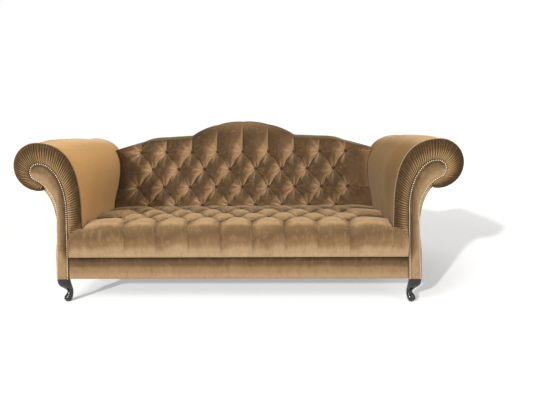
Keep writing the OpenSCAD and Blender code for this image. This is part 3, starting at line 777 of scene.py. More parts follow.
@dataclass
class Upholstery:
    """The buttoned back, the buttoned seat with its channelled front roll, and their covered buttons.

    Args:
        s: The sofa's sizes.
        lines: Its outlines.
        step: Steps between two columns of buttons.
        side_steps: Steps from the outermost buttons to the arm.
        back_shape: How the back's diamonds rise.
        seat_shape: How the seat's diamonds rise.
        side_gap: Room between the arms' padding and the back or the seat.
        rows: Steps between two rows of buttons.
        per_span: Steps between two rows of control points on the crest and the nose.
        calm: How much the diamonds fade out between the outermost buttons and the arm.
        calm_height: Height into which they fade, as a share of the puff.
        end_round: How far the padding falls back at the arm, as a share of the puff.
        crest_rise: Shares of the way from the top row of buttons to the top edge.
        crest_full: How far the pleats are filled there.
        crest_depth: How far the padding stands out there, as a share of the puff.
        crest_lean: How much steeper than the back's rake the crest falls back.
        pleat_power: Sharpness of the crest's pleats; lower is sharper.
        dent_depth: Depth of the front channels, as a share of the sizes' own.
        ear_shares: Outline of a front ear as shares of its depth and height.
        button_profile: Outline of a covered button as shares of its radius.
        button_turns: Points round a covered button.
    """

    s: Sizes
    lines: Outlines
    step: int = 28
    side_steps: int = 26
    back_shape: TuftShape = field(default_factory=lambda: TuftShape(bow=0.12))
    seat_shape: TuftShape = field(default_factory=lambda: TuftShape(fullness=0.5, crease=0.34, gather=0.0012))
    side_gap: float = 0.0008
    rows: int = 30
    per_span: int = 7
    calm: float = 0.7
    calm_height: float = 0.85
    end_round: float = 0.42
    crest_rise: tuple[float, ...] = (0.0, 0.25, 0.52, 0.8)
    crest_full: tuple[float, ...] = (0.0, 0.22, 0.38, 0.5)
    crest_depth: tuple[float, ...] = (1.0, 0.97, 0.86, 0.56)
    crest_lean: float = 1.9
    pleat_power: float = 0.42
    dent_depth: float = 1.15
    ear_shares: tuple[tuple[float, float], ...] = (
        (1.0, 0.6), (1.0, 0.84), (0.97, 0.918), (0.86, 0.918), (0.44, 0.80), (0.16, 0.68),
        (0.02, 0.56), (0.012, 0.42), (0.05, 0.32), (0.2, 0.12), (0.45, 0.02), (1.0, 0.0))
    button_profile: tuple[tuple[float, float], ...] = (
        (0.0, 0.1), (0.45, 0.5), (0.86, 0.92), (1.0, 1.08), (1.02, 1.2), (0.93, 1.34),
        (0.74, 1.45), (0.48, 1.52), (0.22, 1.55), (0.0, 1.56))
    button_turns: int = 32

    def __post_init__(self) -> None:
        """Prepare the two fields."""
        self.back_field = TuftField(self.s, self.back_shape, self.s.row_rise, Seed.BACK_TUFTS)
        self.seat_rise = (self.s.crease_y - self.s.front_y - self.s.front_row_d) / 4
        self.seat_field = TuftField(self.s, self.seat_shape, self.seat_rise, Seed.SEAT_TUFTS)

    def stations(self) -> tuple[Points, Points]:
        """Stations across the sofa.

        Returns:
            The x of each station within the outer buttons, and the share of the way from there to the arm.
        """
        inner = np.linspace(-self.s.edge, self.s.edge, 16 * self.step + 1)
        out = ease(np.linspace(0.0, 1.0, self.side_steps + 1)[1:] * 0.9) / float(ease(np.array(0.9)))
        x = np.concatenate([np.full(len(out), -self.s.edge), inner, np.full(len(out), self.s.edge)])
        f = np.concatenate([out[::-1], np.zeros(len(inner)), out])
        return x, f

    def back_y(self, v: Points) -> Points:
        """Y of the line of back buttons at v rows above the crease."""
        s = self.s
        return s.crease_y + (s.top_row_d - s.crease_d) * (1.0 - np.maximum(0.0, 1.0 - v / 3.0) ** 1.3)

    def back(self) -> bpy.types.Object:
        """Build the buttoned back.

        Returns:
            The back, closed all round.
        """
        s, lines = self.s, self.lines
        x0, f = self.stations()
        side = np.sign(x0) * (f > 0)
        wide = lines.side_x(np.array(s.camel_end_h))
        xt = np.where(f > 0, s.edge + (wide - s.edge) * f, np.abs(x0))
        top = lines.camel_z(xt)
        fade = 1.0 - 0.3 * f * f
        calm = (self.calm * ease(f * 1.5))[:, None]
        fold = mix(self.back_field.height(x0, np.full_like(x0, 4.0)), self.calm_height, calm[:, 0])
        v = np.linspace(0.0, 3.0, 3 * self.rows + 1)
        h = mix(self.back_field.height(x0[:, None], v[None] + 1.0), self.calm_height, calm)
        small = self.back_field.gathers(x0[:, None], v[None] + 1.0) * (f[:, None] == 0)
        rise = s.back_puff * h * ease(v * 1.2 + 0.12)[None] * fade[:, None] + small
        round_off = s.back_puff * self.end_round * (f ** 3)[:, None]
        sag = 0.2 * rise * (ease(v / 1.4) * (1.0 - 0.5 * ease((v - 2.0))))[None]
        y = self.back_y(v)[None] - rise + round_off * ease(v)[None]
        z = s.crease_z + (v * s.row_rise)[None] - sag
        crest, crest_h = self._crest(x0, f, top, fold, fade, y[:, -5:], z[:, -5:])
        foot_y = s.crease_y + s.clr
        foot = np.broadcast_to([[foot_y, s.pad_z + s.clr], [foot_y, s.crease_z - 0.03]], (len(x0), 2, 2))
        notch = top - s.crest_pad_t
        rear = np.stack([np.stack([s.before_rear(q, s.stile_t), q], 1) for q in
                         (notch, mix(notch, s.pad_z, 0.5), np.full_like(top, s.pad_z + s.clr))], 1)
        front = np.stack([y[:, :-1], z[:, :-1]], 2)
        ring = np.concatenate([foot, front, crest, rear], 1)
        share = np.concatenate([np.zeros((len(x0), 2)), h[:, :-1], crest_h, np.zeros((len(x0), 3))], 1)
        points = np.empty(ring.shape[:2] + (3,))
        zc = np.minimum(ring[..., 1], top[:, None])
        gap = np.where(np.arange(ring.shape[1]) >= ring.shape[1] - 3, 0.02, self.side_gap)[None]
        reach = s.edge + (lines.side_x(zc) - gap - s.edge) * f[:, None]
        points[..., 0] = np.where(f[:, None] > 0, side[:, None] * reach, x0[:, None])
        points[..., 1:] = ring
        obj = closed_object("back_upholstery", points)
        write_share(obj, "crown", share)
        rows = 1.0 + (points[..., 2] - s.crease_z) / s.row_rise
        rows[:, 2:2 + len(v)] = v[None] + 1.0
        self.write_pulls(obj, self.back_field.pulls(points[..., 0], rows, first=1.0, last=4.0))
        return obj

    @staticmethod
    def write_pulls(obj: bpy.types.Object, pulls: tuple[Points, Points, Points]) -> None:
        """Store the way from the nearest button, from which the finish draws its folds.

        Args:
            obj: The buttoned piece.
            pulls: The way across, the way along, and the button's phase.
        """
        for name, values in zip(("pull_x", "pull_v", "pull_phase"), pulls):
            write_share(obj, name, values)

    def _crest(self, x0: Points, f: Points, top: Points, fold: Points, fade: Points,
               y: Points, z: Points) -> tuple[Points, Points]:
        """Carry the back over its top edge, with a pleat above each button of the top row.

        Args:
            x0: Station within the outer buttons.
            f: Share of the way to the arm.
            top: Height of the top edge.
            fold: Height of the field along the top row.
            fade: How much the field fades towards the arm.
            y: Y of the last rows below the top row.
            z: Height of those rows.

        Returns:
            Points of the crest as y and z, and their height over the creases.
        """
        s = self.s
        lean = math.tan(math.radians(s.rake)) * self.crest_lean
        y3 = float(self.back_y(np.array(3.0)))
        pleat = np.abs(np.sin(math.pi * self.back_field.columns(x0) / 2.0)) ** self.pleat_power
        sharp = mix(pleat, 0.9, self.calm * ease(f * 1.5))
        rows = []
        crown = []
        for share, full, depth in zip(self.crest_rise, self.crest_full, self.crest_depth):
            zr = mix(s.top_row_z, top, share)
            g = mix(mix(fold, sharp, min(1.0, share * 3.0)), 1.0, full)
            yr = y3 + (zr - s.top_row_z) * lean - s.back_puff * fade * g * depth
            yr = yr + s.back_puff * self.end_round * f ** 3
            if share == 0.0:
                yr, zr = y[:, -1], z[:, -1]
            rows.append(np.stack([yr, zr], 1))
            crown.append(g)
        dent = s.channel * 0.75 * (1.0 - sharp)
        crest_y = mix(y3, s.before_rear(top, 0.0), 0.50)
        rows.append(np.stack([crest_y, top - s.crest_pad_t * 0.06 - dent], 1))
        rows.append(np.stack([s.before_rear(top, (s.wood_t + s.skin_t) * 0.72), top - dent * 0.2], 1))
        for drop, depth in ((0.22, s.skin_t * 1.7), (0.6, s.skin_t + s.clr)):
            zr = top - s.crest_pad_t * drop
            rows.append(np.stack([s.before_rear(zr, depth), zr], 1))
        crown += [mix(sharp, 1.0, 0.5), mix(sharp, 1.0, 0.7), np.ones_like(fold), np.ones_like(fold)]
        before = np.stack([y[:, -5], z[:, -5]], 1)
        control = np.stack([before] + rows, 1)
        per = self.per_span
        smooth = spline_rows(control, per)[:, per:]
        heights = spline_rows(np.stack([crown[0]] + crown, 1)[..., None], per)[:, per:, 0]
        return smooth, heights

    def seat(self) -> bpy.types.Object:
        """Build the buttoned seat and its front roll from one sheet of velvet.

        Returns:
            The seat, closed all round.
        """
        s = self.s
        x0, f = self.stations()
        x = np.sign(x0) * (np.abs(x0) + (s.roll_edge - s.edge) * f)
        deck_x = np.sign(x0) * (np.abs(x0) + (s.arm_in_x - self.side_gap - s.edge) * f)
        v = np.linspace(5.0, 1.0, 4 * self.rows + 1)
        y_deck = mix(s.front_y + s.front_row_d, s.crease_y - s.clr, (v - 1.0) / 4.0)
        h = self.seat_field.height(x0[:, None], v[None])
        small = self.seat_field.gathers(x0[:, None], v[None]) * (f[:, None] == 0)
        low = 1.0 - 0.55 * ease((v - 4.0) * 1.2)
        fall = s.seat_puff * self.end_round * (f ** 2)[:, None]
        z_deck = s.seat_z(v)[None] + s.seat_puff * h * low[None] + small - fall
        deck = np.stack([np.broadcast_to(y_deck, z_deck.shape), z_deck], 2)
        nose, nose_h = self._nose(x0, f, deck[:, -5:])
        back = np.stack([np.full((len(x0), 2), s.crease_y - s.clr),
                         np.broadcast_to([s.pad_z + s.clr, s.seat_h - s.seat_puff - 0.02], (len(x0), 2))], 2)
        under = np.stack([np.broadcast_to([s.front_y + s.front_row_d] * 2, (len(x0), 2)),
                          np.broadcast_to([s.roll_z + 0.01, s.pad_z], (len(x0), 2))], 2)
        ring = np.concatenate([back, deck[:, :-1], nose, under], 1)
        # Painted shade: the stored heights fall towards the back, so the seat is painted darker there.
        far = mix(1.0, 0.55, ease((v - 1.6) / 2.6))[None]
        share = np.concatenate([np.zeros((len(x0), 2)), (h * far)[:, :-1], nose_h, np.zeros((len(x0), 2))], 1)
        k = np.arange(ring.shape[1])
        on_deck = ease((len(v) - 1 - k) / 12.0)[None]
        points = np.empty(ring.shape[:2] + (3,))
        points[..., 0] = mix(x[:, None], deck_x[:, None], on_deck)
        points[..., 1:] = ring
        obj = closed_object("seat_upholstery", points)
        write_share(obj, "crown", share)
        way = np.linalg.norm(np.diff(ring, axis=1), axis=2).cumsum(axis=1)
        start = len(v)
        rows = np.ones(ring.shape[:2])
        rows[:, 2:start + 1] = v[None, :-1]
        rows[:, start + 1:] = 1.0 - (way[:, start:] - way[:, start - 1:start]) / self.seat_rise
        self.write_pulls(obj, self.seat_field.pulls(points[..., 0], rows, first=1.0))
        return obj

    def _nose(self, x0: Points, f: Points, deck: Points) -> tuple[Points, Points]:
        """Carry the seat over its nose and down to the rail, with a channel below each front button.

        Args:
            x0: Station within the outer buttons.
            f: Share of the way to the arm.
            deck: Last rows of the deck as y and z.

        Returns:
            Points of the nose as y and z, and their height over the channels.
        """
        s = self.s
        g = mix(self.seat_field.height(x0, np.ones_like(x0)), 1.0, ease(f * 3.2))
        dent = s.channel * (1.0 - g ** 0.8) * self.dent_depth
        top = self.lines.roll_top(f)
        h = top - s.roll_z
        base = deck[:, -1, 1]
        d = s.front_row_d
        rows = [(np.full_like(x0, d), base),
                (np.full_like(x0, d * 0.8), mix(base, top, 0.7) - dent * 1.4),
                (np.full_like(x0, d * 0.55), top - dent * 1.3),
                (d * 0.28 + dent * 0.3, top - h * 0.06 - dent),
                (d * 0.09 + dent * 0.7, top - h * 0.22),
                (dent * 0.75, top - h * 0.42),
                (s.channel * 0.1 + dent * 0.55, top - h * 0.66),
                (s.channel * 0.5 + dent * 0.3, s.roll_z + h * 0.12),
                (np.full_like(x0, s.channel * 1.2), np.full_like(x0, s.roll_z + h * 0.02)),
                (np.full_like(x0, s.nose_out * 1.4), np.full_like(x0, s.roll_z)),
                (np.full_like(x0, s.nose_out * 3.0), np.full_like(x0, s.roll_z))]
        nose = [np.stack([s.front_y + a, b * np.ones_like(x0)], 1) for a, b in rows]
        control = np.stack([deck[:, 0]] + nose, 1)
        smooth = spline_rows(control, self.per_span)[:, self.per_span:]
        down = np.linspace(0.25, 0.75, smooth.shape[1])[None]
        heights = mix(g[:, None], 1.0, down)
        return smooth, heights

    def ear(self, side: int) -> bpy.types.Object:
        """Build the end of the front roll that lies before an arm.

        Args:
            side: -1 or 1.

        Returns:
            The ear.
        """
        s, lines = self.s, self.lines
        share = np.array(self.ear_shares)
        back = s.nose_out + s.facing_t * 0.5
        ear_x = lines.facing_in(s.ear_tip_z) - 0.0012
        x = np.linspace(s.roll_edge - 0.003, ear_x, 15)
        q = (x - x[0]) / (x[-1] - x[0])
        line = lines.ear_z(x)
        top = mix(line, s.roll_z + (line - s.roll_z) / 0.93, ease(q * 1.5))
        tuck = 0.004 * ease((q - 0.75) / 0.25)
        rows = np.empty((len(x), len(share), 2))
        rows[..., 0] = back * share[None, :, 0] + tuck[:, None] * (1.0 - share[None, :, 0])
        rows[..., 1] = s.roll_z + (top - s.roll_z)[:, None] * share[None, :, 1]
        smooth = spline_rows(rows, 6)
        points = np.empty(smooth.shape[:2] + (3,))
        points[..., 0] = np.broadcast_to(x[:, None], smooth.shape[:2])
        points[..., 1] = s.front_y + smooth[..., 0]
        points[..., 2] = smooth[..., 1]
        obj = closed_object("front_ear_" + side_name(side), mirror_points(points, side))
        write_share(obj, "crown", np.ones(points.shape[:2]))
        self.write_pulls(obj, (np.ones(points.shape[:2]),) * 3)
        return obj

    def button_spots(self) -> tuple[list[tuple[Vector, float]], list[tuple[Vector, float]]]:
        """Places of the covered buttons.

        Returns:
            The back's and the seat's buttons, each as a point and a tilt from upright in degrees.
        """
        s = self.s
        tilt = math.degrees(math.atan((s.top_row_d - s.crease_d) / (3 * s.row_rise)))
        back = [(Vector((j * s.half, float(self.back_y(np.array(float(v)))), s.crease_z + v * s.row_rise)),
                 90.0 - tilt * (1.5 if v == 0 else 0.8))
                for v in range(4) for j in range(-8, 9) if (j + v) % 2 != 0]
        y0 = s.front_y + s.front_row_d + s.clr
        y1 = s.crease_y - s.clr
        seat = [(Vector((j * s.half, mix(y0, y1, (v - 1) / 4), s.seat_z(v))), 0.0)
                for v in range(1, 5) for j in range(-8, 9) if (j + v) % 2 == 0]
        return back, seat

    def buttons(self, name: str, spots: Sequence[tuple[Vector, float]]) -> bpy.types.Object:
        """Build a set of covered buttons, each a flat dome whose velvet gathers at its rim.

        Args:
            name: Object's name.
            spots: Points and tilts.

        Returns:
            One object with all the buttons.
        """
        r = self.s.button_r
        profile = np.array(self.button_profile) * r
        out, up = profile[:, None, 0], profile[:, None, 1]
        gathered = (up > r) & (up < 1.5 * r)
        turns = self.button_turns
        a = np.linspace(0.0, 2.0 * math.pi, turns, endpoint=False)
        verts: list[Points] = []
        faces: list[tuple[int, ...]] = []
        rng = np.random.RandomState(Seed.BUTTONS)
        for spot, tilt in spots:
            base = len(verts) * turns * len(profile)
            pucker = 1.0 + 0.035 * np.sin(8 * a + rng.uniform(0.0, 6.0))
            spread = out * np.where(gathered, pucker, 1.0)
            local = np.stack([spread * np.cos(a), spread * np.sin(a), np.broadcast_to(up, spread.shape)], 2)
            t = math.radians(tilt)
            turned = local.copy()
            turned[..., 1] = local[..., 1] * math.cos(t) - local[..., 2] * math.sin(t)
            turned[..., 2] = local[..., 1] * math.sin(t) + local[..., 2] * math.cos(t)
            verts.append(turned + np.array(spot))
            faces += grid_faces(len(profile), turns, wrap=True, base=base)
        obj = add_object(name, np.concatenate([v.reshape(-1, 3) for v in verts]), faces)
        close_domes(obj, r / 1000)
        return obj


def side_name(side: int) -> str:
    """Name of a side as in the frame's nodes: left at negative x and right at positive x."""
    return "left" if side < 0 else "right"


@dataclass
class Arm:
    """One rolled arm: its padding, pleated border, welt, facing and nails.

    Args:
        s: The sofa's sizes.
        lines: Its outlines.
        side: -1 or 1.
        pleats: Number of pleats in the border.
        per_pleat: Steps across a pleat.
        pleat_cut: Depth of the folds between the pleats.
        border_rise: How far the border stands out, by its share of the way from facing to welt.
        cut_rise: How deep its folds are along the same way.
        border_shade: How much painted shade darkens its outer half, on the left and on the right side.
        depth_rows: Steps along the padding from its front to its rear.
        pad_z: Height of the padding's lower edge.
        facing_insets: How far in and how far out the rings of the facing's low crown lie.
        dome: Height of a nail's head as a share of its radius.
    """

    s: Sizes
    lines: Outlines
    side: int
    pleats: int = 72
    per_pleat: int = 10
    pleat_cut: float = 0.0044
    border_rise: tuple[tuple[float, ...], ...] = ((0.0, 0.06, 0.2, 0.4, 0.62, 0.82, 0.94, 1.0),
                                                  (0.42, 0.72, 0.96, 1.0, 0.93, 0.72, 0.42, 0.16))
    cut_rise: tuple[tuple[float, ...], ...] = ((0.0, 0.08, 0.5, 0.9, 1.0), (0.55, 0.9, 1.0, 0.9, 0.35))
    border_shade: tuple[float, float] = (0.5, 0.76)
    depth_rows: int = 46
    pad_z: float = 0.262
    facing_insets: tuple[tuple[float, float], ...] = (
        (0.0, 0.0), (0.0008, 0.0016), (0.003, 0.0030), (0.007, 0.0040), (0.012, 0.0044), (0.018, 0.0046),
        (0.0235, 0.0047))
    dome: float = 0.72

    def pad_front_y(self) -> float:
        """Y of the padding's front edge, behind the welt."""
        return self.s.board_y + 2.4 * self.s.welt_r

    def padding(self) -> bpy.types.Object:
        """Build the arm's padding: up the inside, over the head and round to the neck.

        Returns:
            The padding, closed all round.
        """
        s, lines = self.s, self.lines
        outer = even(lines.arm_path(self.pad_z), 150)
        inner = even(shifted(lines.arm_path(self.pad_z), s.arm_pad_t - s.clr), 24)
        t = np.concatenate([np.linspace(0.0, 0.06, 8), np.linspace(0.06, 1.0, self.depth_rows)[1:]])[:, None]
        points = []
        for path, swells in ((outer, 1.0), (inner[::-1], 0.0)):
            x, z = path[:, 0], path[:, 1]
            inside = (x < lines.head_x) & (z > s.foot_h) & ~((z < lines.head_z) & (x > s.arm_out_x))
            hidden = inside & (z < s.camel_end_h - s.crest_pad_t * 0.9)
            stop = np.where(hidden, s.before_rear(z, s.stile_t), s.before_rear(z, s.skin_t + s.clr))
            move = swells * lines.swell(z) * inside
            row = np.empty((len(t), len(x), 3))
            row[..., 0] = x[None] - move[None] * ease(t / 0.28)
            row[..., 1] = mix(self.pad_front_y(), stop[None], t)
            lift = ease((z[None] - s.camel_end_h) / (s.arm_h - s.camel_end_h)) * ease(t / 0.28)
            row[..., 2] = z[None] + swells * s.arm_crown * lift * (1.0 - ease((t - 0.62) / 0.38) / 2.0)
            points.append(row)
        surface = points[0]
        ripple = Ripple(Seed.ARM_WAVES + self.side, 0.24)
        fine = Ripple(Seed.ARM_RIPPLES + self.side, 0.07)
        normal = outward(surface)
        settle = ease(t / 0.12) * ease((1.0 - t) / 0.08)
        soft = (0.0016 * ripple.at(surface) + 0.0005 * fine.at(surface)) * settle
        surface += normal * (soft - 0.0022 * settle)[..., None]
        roll = np.exp(-((t / 0.045) ** 2))
        surface -= normal * (0.0035 * roll)[..., None] * (1.0 - ease(t / 0.01))[..., None]
        ring = np.concatenate([surface, points[1]], 1)
        obj = closed_object("arm_upholstery_" + side_name(self.side), mirror_points(ring, self.side))
        write_share(obj, "crown", np.ones(ring.shape[:2]))
        return obj

    def border_edges(self, n: int) -> tuple[Points, Points]:
        """Inner and outer edge of the pleated border at even shares of its three stretches.

        Args:
            n: Number of steps.

        Returns:
            The facing's edge and the welt's line.
        """
        s, lines = self.s, self.lines
        gap = -2 * s.clr
        n1, n2 = round(n * 0.2), round(n * 0.42)
        n3 = n - n1 - n2
        curl = shifted(lines.facing_curl, gap)
        head = shifted(np.concatenate([lines.facing_head, lines.facing_neck[1:8]]), gap)
        a = [even(np.array([[lines.facing_in(s.border_z) + gap, s.border_z], curl[0]]), n1),
             even(np.concatenate([curl, [[lines.fhead_x, lines.fhead_z + s.facing_r - gap]]]), n2)[1:],
             even(head, n3)[1:]]
        b = [even(np.array([[s.arm_in_x, s.border_z], lines.arm_curl[0]]), n1),
             even(np.concatenate([lines.arm_curl, lines.arm_head[:1]]), n2)[1:],
             even(lines.arm_head, n3)[1:]]
        return np.concatenate(a), np.concatenate(b)

    def border(self) -> bpy.types.Object:
        """Build the border of radial pleats between facing and welt.

        Returns:
            The border.
        """
        s, lines = self.s, self.lines
        n = self.pleats * self.per_pleat
        inner, outer = self.border_edges(n)
        rng = np.random.RandomState(Seed.BORDER + self.side)
        p = np.arange(n + 1) / self.per_pleat
        wobble = np.interp(p, np.arange(self.pleats + 1), rng.uniform(-0.16, 0.16, self.pleats + 1))
        size = np.interp(p, np.arange(self.pleats + 1), rng.uniform(0.75, 1.15, self.pleats + 1))
        t = np.linspace(0.0, 1.0, 19)
        drift = np.interp(p, np.arange(self.pleats + 1), rng.uniform(-0.22, 0.22, self.pleats + 1))
        phase = p[:, None] + wobble[:, None] + drift[:, None] * (t[None] - 0.5)
        ridge = np.abs(np.sin(math.pi * phase)) ** 0.75
        flat = mix(inner[:, None], outer[:, None], t[None, :, None])
        y0 = s.board_y - s.clr
        front = s.face_y - s.border_proud
        shape = np.interp(t, *self.border_rise)
        grow = np.interp(t, *self.cut_rise)
        share = ease((flat[..., 1] - lines.ear_z(flat[..., 0]) - 0.001) / (s.facing_r * 0.8))
        depth = (y0 - front) * shape[None] - self.pleat_cut * (1.0 - ridge) * grow[None] * size[:, None]
        low = s.facing_t * 0.30
        points = np.empty(flat.shape[:2] + (3,))
        points[..., 0] = flat[..., 0]
        points[..., 2] = flat[..., 1]
        points[..., 1] = y0 - mix(low, depth, share)
        back = np.stack([np.stack([e[:, 0], np.full(n + 1, y0), e[:, 1]], 1) for e in (outer, inner)], 1)
        ring = np.concatenate([points, back], 1)
        obj = closed_object("pleated_border_" + side_name(self.side) + "_cloth", mirror_points(ring, self.side))
        # Painted light and shade stored for the border's finish: lit pleat ridges, shaded folds, and a shaded outer
        # half, darker on the right arm.
        fall = self.border_shade[self.side > 0]
        tone = mix(ridge, 1.0, 0.12 + 0.5 * ease((0.34 - t) / 0.3)[None])
        tone = tone * (1.0 - fall * ease((t - 0.2) / 0.7)[None])
        crown = np.concatenate([tone, np.zeros((n + 1, 2))], 1)
        write_share(obj, "crown", crown)
        return obj

    def welt(self) -> bpy.types.Object:
        """Build the welt along the outer edge of the border.

        Returns:
            The welt.
        """
        s = self.s
        line = even(self.lines.arm_path(s.border_z)[::-1], 220)
        path = np.stack([line[:, 0], np.full(len(line), s.board_y + s.welt_r), line[:, 1]], 1)
        wave = Ripple(Seed.WELT, 0.05).at(path)
        rings = tube_points(path, s.welt_r, 12)
        rings = path[:, None] + (rings - path[:, None]) * (1.0 + 0.03 * wave[:, None, None])
        return closed_object("scroll_welt_" + side_name(self.side), mirror_points(rings, self.side))

    def facing(self) -> bpy.types.Object:
        """Build the padded facing with its low crown.

        Returns:
            The facing.
        """
        s, lines = self.s, self.lines
        edge = even(lines.facing_path(s.foot_h), 200)
        verts = []
        y_front = s.face_y + 0.0022
        rings = [(shifted(edge, d), y_front - rise) for d, rise in self.facing_insets]
        rings.insert(0, (edge, s.face_y + s.facing_t))
        for p, y in rings:
            p = p.copy()
            p[:, 1] = np.maximum(p[:, 1], s.foot_h)
            verts.append(np.stack([p[:, 0], np.full(len(p), y), p[:, 1]], 1))
        n = len(edge)
        faces = grid_faces(len(verts), n, wrap=True)
        flat = np.concatenate(verts)
        last = (len(verts) - 1) * n
        loop = [Vector((flat[last + k, 0], flat[last + k, 2], 0.0)) for k in range(n)]
        faces += [tuple(last + k for k in tri) for tri in tessellate_polygon([loop])]
        loop = [Vector((flat[k, 0], flat[k, 2], 0.0)) for k in range(n)]
        faces += [tuple(reversed(tri)) for tri in tessellate_polygon([loop])]
        obj = add_object("facing_" + side_name(self.side) + "_panel", mirror_points(flat, self.side), faces)
        turn_out(obj)
        # Painted shade: the stored crown paints the facing darker along its inner edge and lighter low down, near the
        # rail.
        inner = even(np.concatenate([[[lines.fin_x, s.foot_h]], lines.facing_curl, lines.facing_head[:8]]), 120)
        away = np.linalg.norm(flat[:, None, [0, 2]] - inner[None], axis=2).min(axis=1) / (s.facing_w * 0.8)
        write_share(obj, "crown", np.clip(away + 0.6 * ease((s.roll_z + 0.05 - flat[:, 2]) / 0.09), 0.0, 1.0))
        return obj

    def nails(self) -> bpy.types.Object:
        """Build the line of domed nails round the facing.

        Returns:
            One object with all the nails.
        """
        s = self.s
        line = shifted(self.lines.facing_path(s.foot_h + s.nail_r), s.nail_r * 1.1)
        spots = even(line, int(runs(line)[-1] / s.nail_pitch))
        rng = np.random.RandomState(Seed.NAILS + self.side)
        rings, turns = 6, 14
        a = np.linspace(0.0, 2.0 * math.pi, turns, endpoint=False)
        q = np.linspace(0.0, math.pi / 2, rings)
        verts = []
        faces: list[tuple[int, ...]] = []
        for i, spot in enumerate(spots):
            r = s.nail_r * rng.uniform(0.95, 1.02)
            jog = rng.normal(0.0, 0.00025, 2)
            tilt = rng.normal(0.0, 0.05, 2)
            reach = r * np.cos(q)
            rise = r * self.dome * np.sin(q)
            x = reach[:, None] * np.cos(a)[None]
            z = reach[:, None] * np.sin(a)[None]
            y = s.face_y - s.clr - rise[:, None] + x * tilt[0] + z * tilt[1]
            verts.append(np.stack([spot[0] + jog[0] + x, y, spot[1] + jog[1] + z], 2).reshape(-1, 3))
            base = i * rings * turns
            faces += grid_faces(rings, turns, wrap=True, base=base)
            faces.append(tuple(base + k for k in range(turns)))
        obj = add_object("facing_nails_" + side_name(self.side), mirror_points(np.concatenate(verts), self.side), faces)
        close_domes(obj, s.nail_r / 1000)
        return obj


@dataclass
class Covers:
    """The flat velvet covers: front rail, outside arms and outside back."""

    s: Sizes
    lines: Outlines

    def front_rail(self) -> bpy.types.Object:
        """Build the cover of the front rail, softly padded between its edges.

        Returns:
            The cover.
        """
        s, lines = self.s, self.lines
        z = mix(s.foot_h, s.roll_z - 3 * s.clr, 0.5 - 0.5 * np.cos(math.pi * np.linspace(0.0, 1.0, 29)))
        q = np.linspace(-1.0, 1.0, 301)
        reach = lines.facing_in(z) - 2 * s.clr
        points = np.empty((len(q), len(z), 3))
        points[..., 0] = q[:, None] * reach[None]
        points[..., 2] = z[None]
        u = (z - z[0]) / (z[-1] - z[0])
        crown = np.clip(np.minimum(u, 1.0 - u) / 0.16, 0.0, 1.0) ** 0.5
        ends = np.clip((1.0 - np.abs(q)) / 0.012, 0.0, 1.0) ** 0.5
        y = s.board_y - s.clr - s.skin_t - 0.0015
        points[..., 1] = y
        ripple = (Ripple(Seed.RAIL_WAVES, 0.16).at(points) * 0.0007
                  + Ripple(Seed.RAIL_RIPPLES, 0.03).at(points) * 0.00012)
        points[..., 1] = y + 0.0035 - (0.0045 * crown[None] * ends[:, None] + ripple * crown[None])
        back = np.stack([points[:, -1], points[:, 0]], 1)
        back[..., 1] = s.board_y - s.clr
        return closed_object("front_rail_velvet", np.concatenate([points, back], 1))

    def outside_arm(self, side: int) -> bpy.types.Object:
        """Build the cover of an arm's outside.

        Args:
            side: -1 or 1.

        Returns:
            The cover.
        """
        s, lines = self.s, self.lines
        outer = even(lines.outer_path(), 90)
        inner = even(shifted(lines.outer_path(), s.skin_t), 20)[::-1]
        t = np.linspace(0.0, 1.0, 70)[:, None]
        rows = []
        for path in (outer, inner):
            row = np.empty((len(t), len(path), 3))
            row[..., 0] = path[None, :, 0]
            row[..., 2] = path[None, :, 1]
            row[..., 1] = mix(s.board_y, s.before_rear(path[None, :, 1], s.skin_t + s.clr), t)
            rows.append(row)
        skin = rows[0]
        normal = outward(skin)
        rim = ease(t / 0.05) * ease((1.0 - t) / 0.05)
        waves = Ripple(Seed.OUTSIDE_ARM + side, 0.2).at(skin)
        skin += normal * ((0.0009 * waves + 0.0008) * rim)[..., None]
        skins = mirror_points(np.concatenate(rows, 1), side)
        return closed_object("outside_arm_" + side_name(side) + "_velvet", skins)

    def outside_back(self) -> bpy.types.Object:
        """Build the cover of the back, drawn tight over its frame.

        Returns:
            The cover.
        """
        s, lines = self.s, self.lines
        drop = s.crest_pad_t * 0.55
        side_z = np.concatenate([[s.foot_h, s.neck_z], lines.arm_curl[1:, 1]])
        side_x = np.concatenate([[s.arm_in_x, s.arm_in_x], lines.arm_curl[1:, 0]]) - 2 * s.clr
        q = np.sin(np.linspace(-1.0, 1.0, 181) * math.pi / 2)
        u = 0.5 - 0.5 * np.cos(np.linspace(0.0, 1.0, 91) * math.pi)
        x = q[:, None] * s.arm_in_x * np.ones_like(u)[None]
        for _ in range(6):
            z = mix(s.foot_h, lines.camel_z(x) - drop, u[None])
            x = q[:, None] * np.minimum(np.interp(z, side_z, side_x), s.overall_w * 0.365)
        points = np.empty(x.shape + (3,))
        points[..., 0] = x
        points[..., 2] = z
        points[..., 1] = s.before_rear(z, 0.0)
        rim = np.clip(np.minimum(1.0 - np.abs(q), 1.0)[:, None] / 0.03, 0.0, 1.0) ** 0.5
        rim = rim * np.clip(np.minimum(u, 1.0 - u)[None] / 0.03, 0.0, 1.0) ** 0.5
        waves = 0.003 + 0.0011 * Ripple(Seed.BACK_WAVES, 0.3).at(points)
        lift = -0.0022 + rim * (waves + 0.0004 * Ripple(Seed.BACK_RIPPLES, 0.07).at(points))
        front = points.copy()
        front[..., 1] = s.before_rear(z, s.skin_t)
        points[..., 1] += lift
        nq, nu = x.shape
        verts = np.concatenate([points.reshape(-1, 3), front.reshape(-1, 3)])
        faces = grid_faces(nq, nu) + [tuple(reversed(f)) for f in grid_faces(nq, nu, base=nq * nu)]
        loop = ([k * nu for k in range(nq)] + [(nq - 1) * nu + k for k in range(1, nu)]
                + [k * nu + nu - 1 for k in range(nq - 2, -1, -1)] + list(range(nu - 2, 0, -1)))
        faces += [(a, b, b + nq * nu, a + nq * nu) for a, b in zip(loop, loop[1:] + loop[:1])]
        obj = add_object("outside_back_velvet", verts, faces)
        turn_out(obj)
        return obj


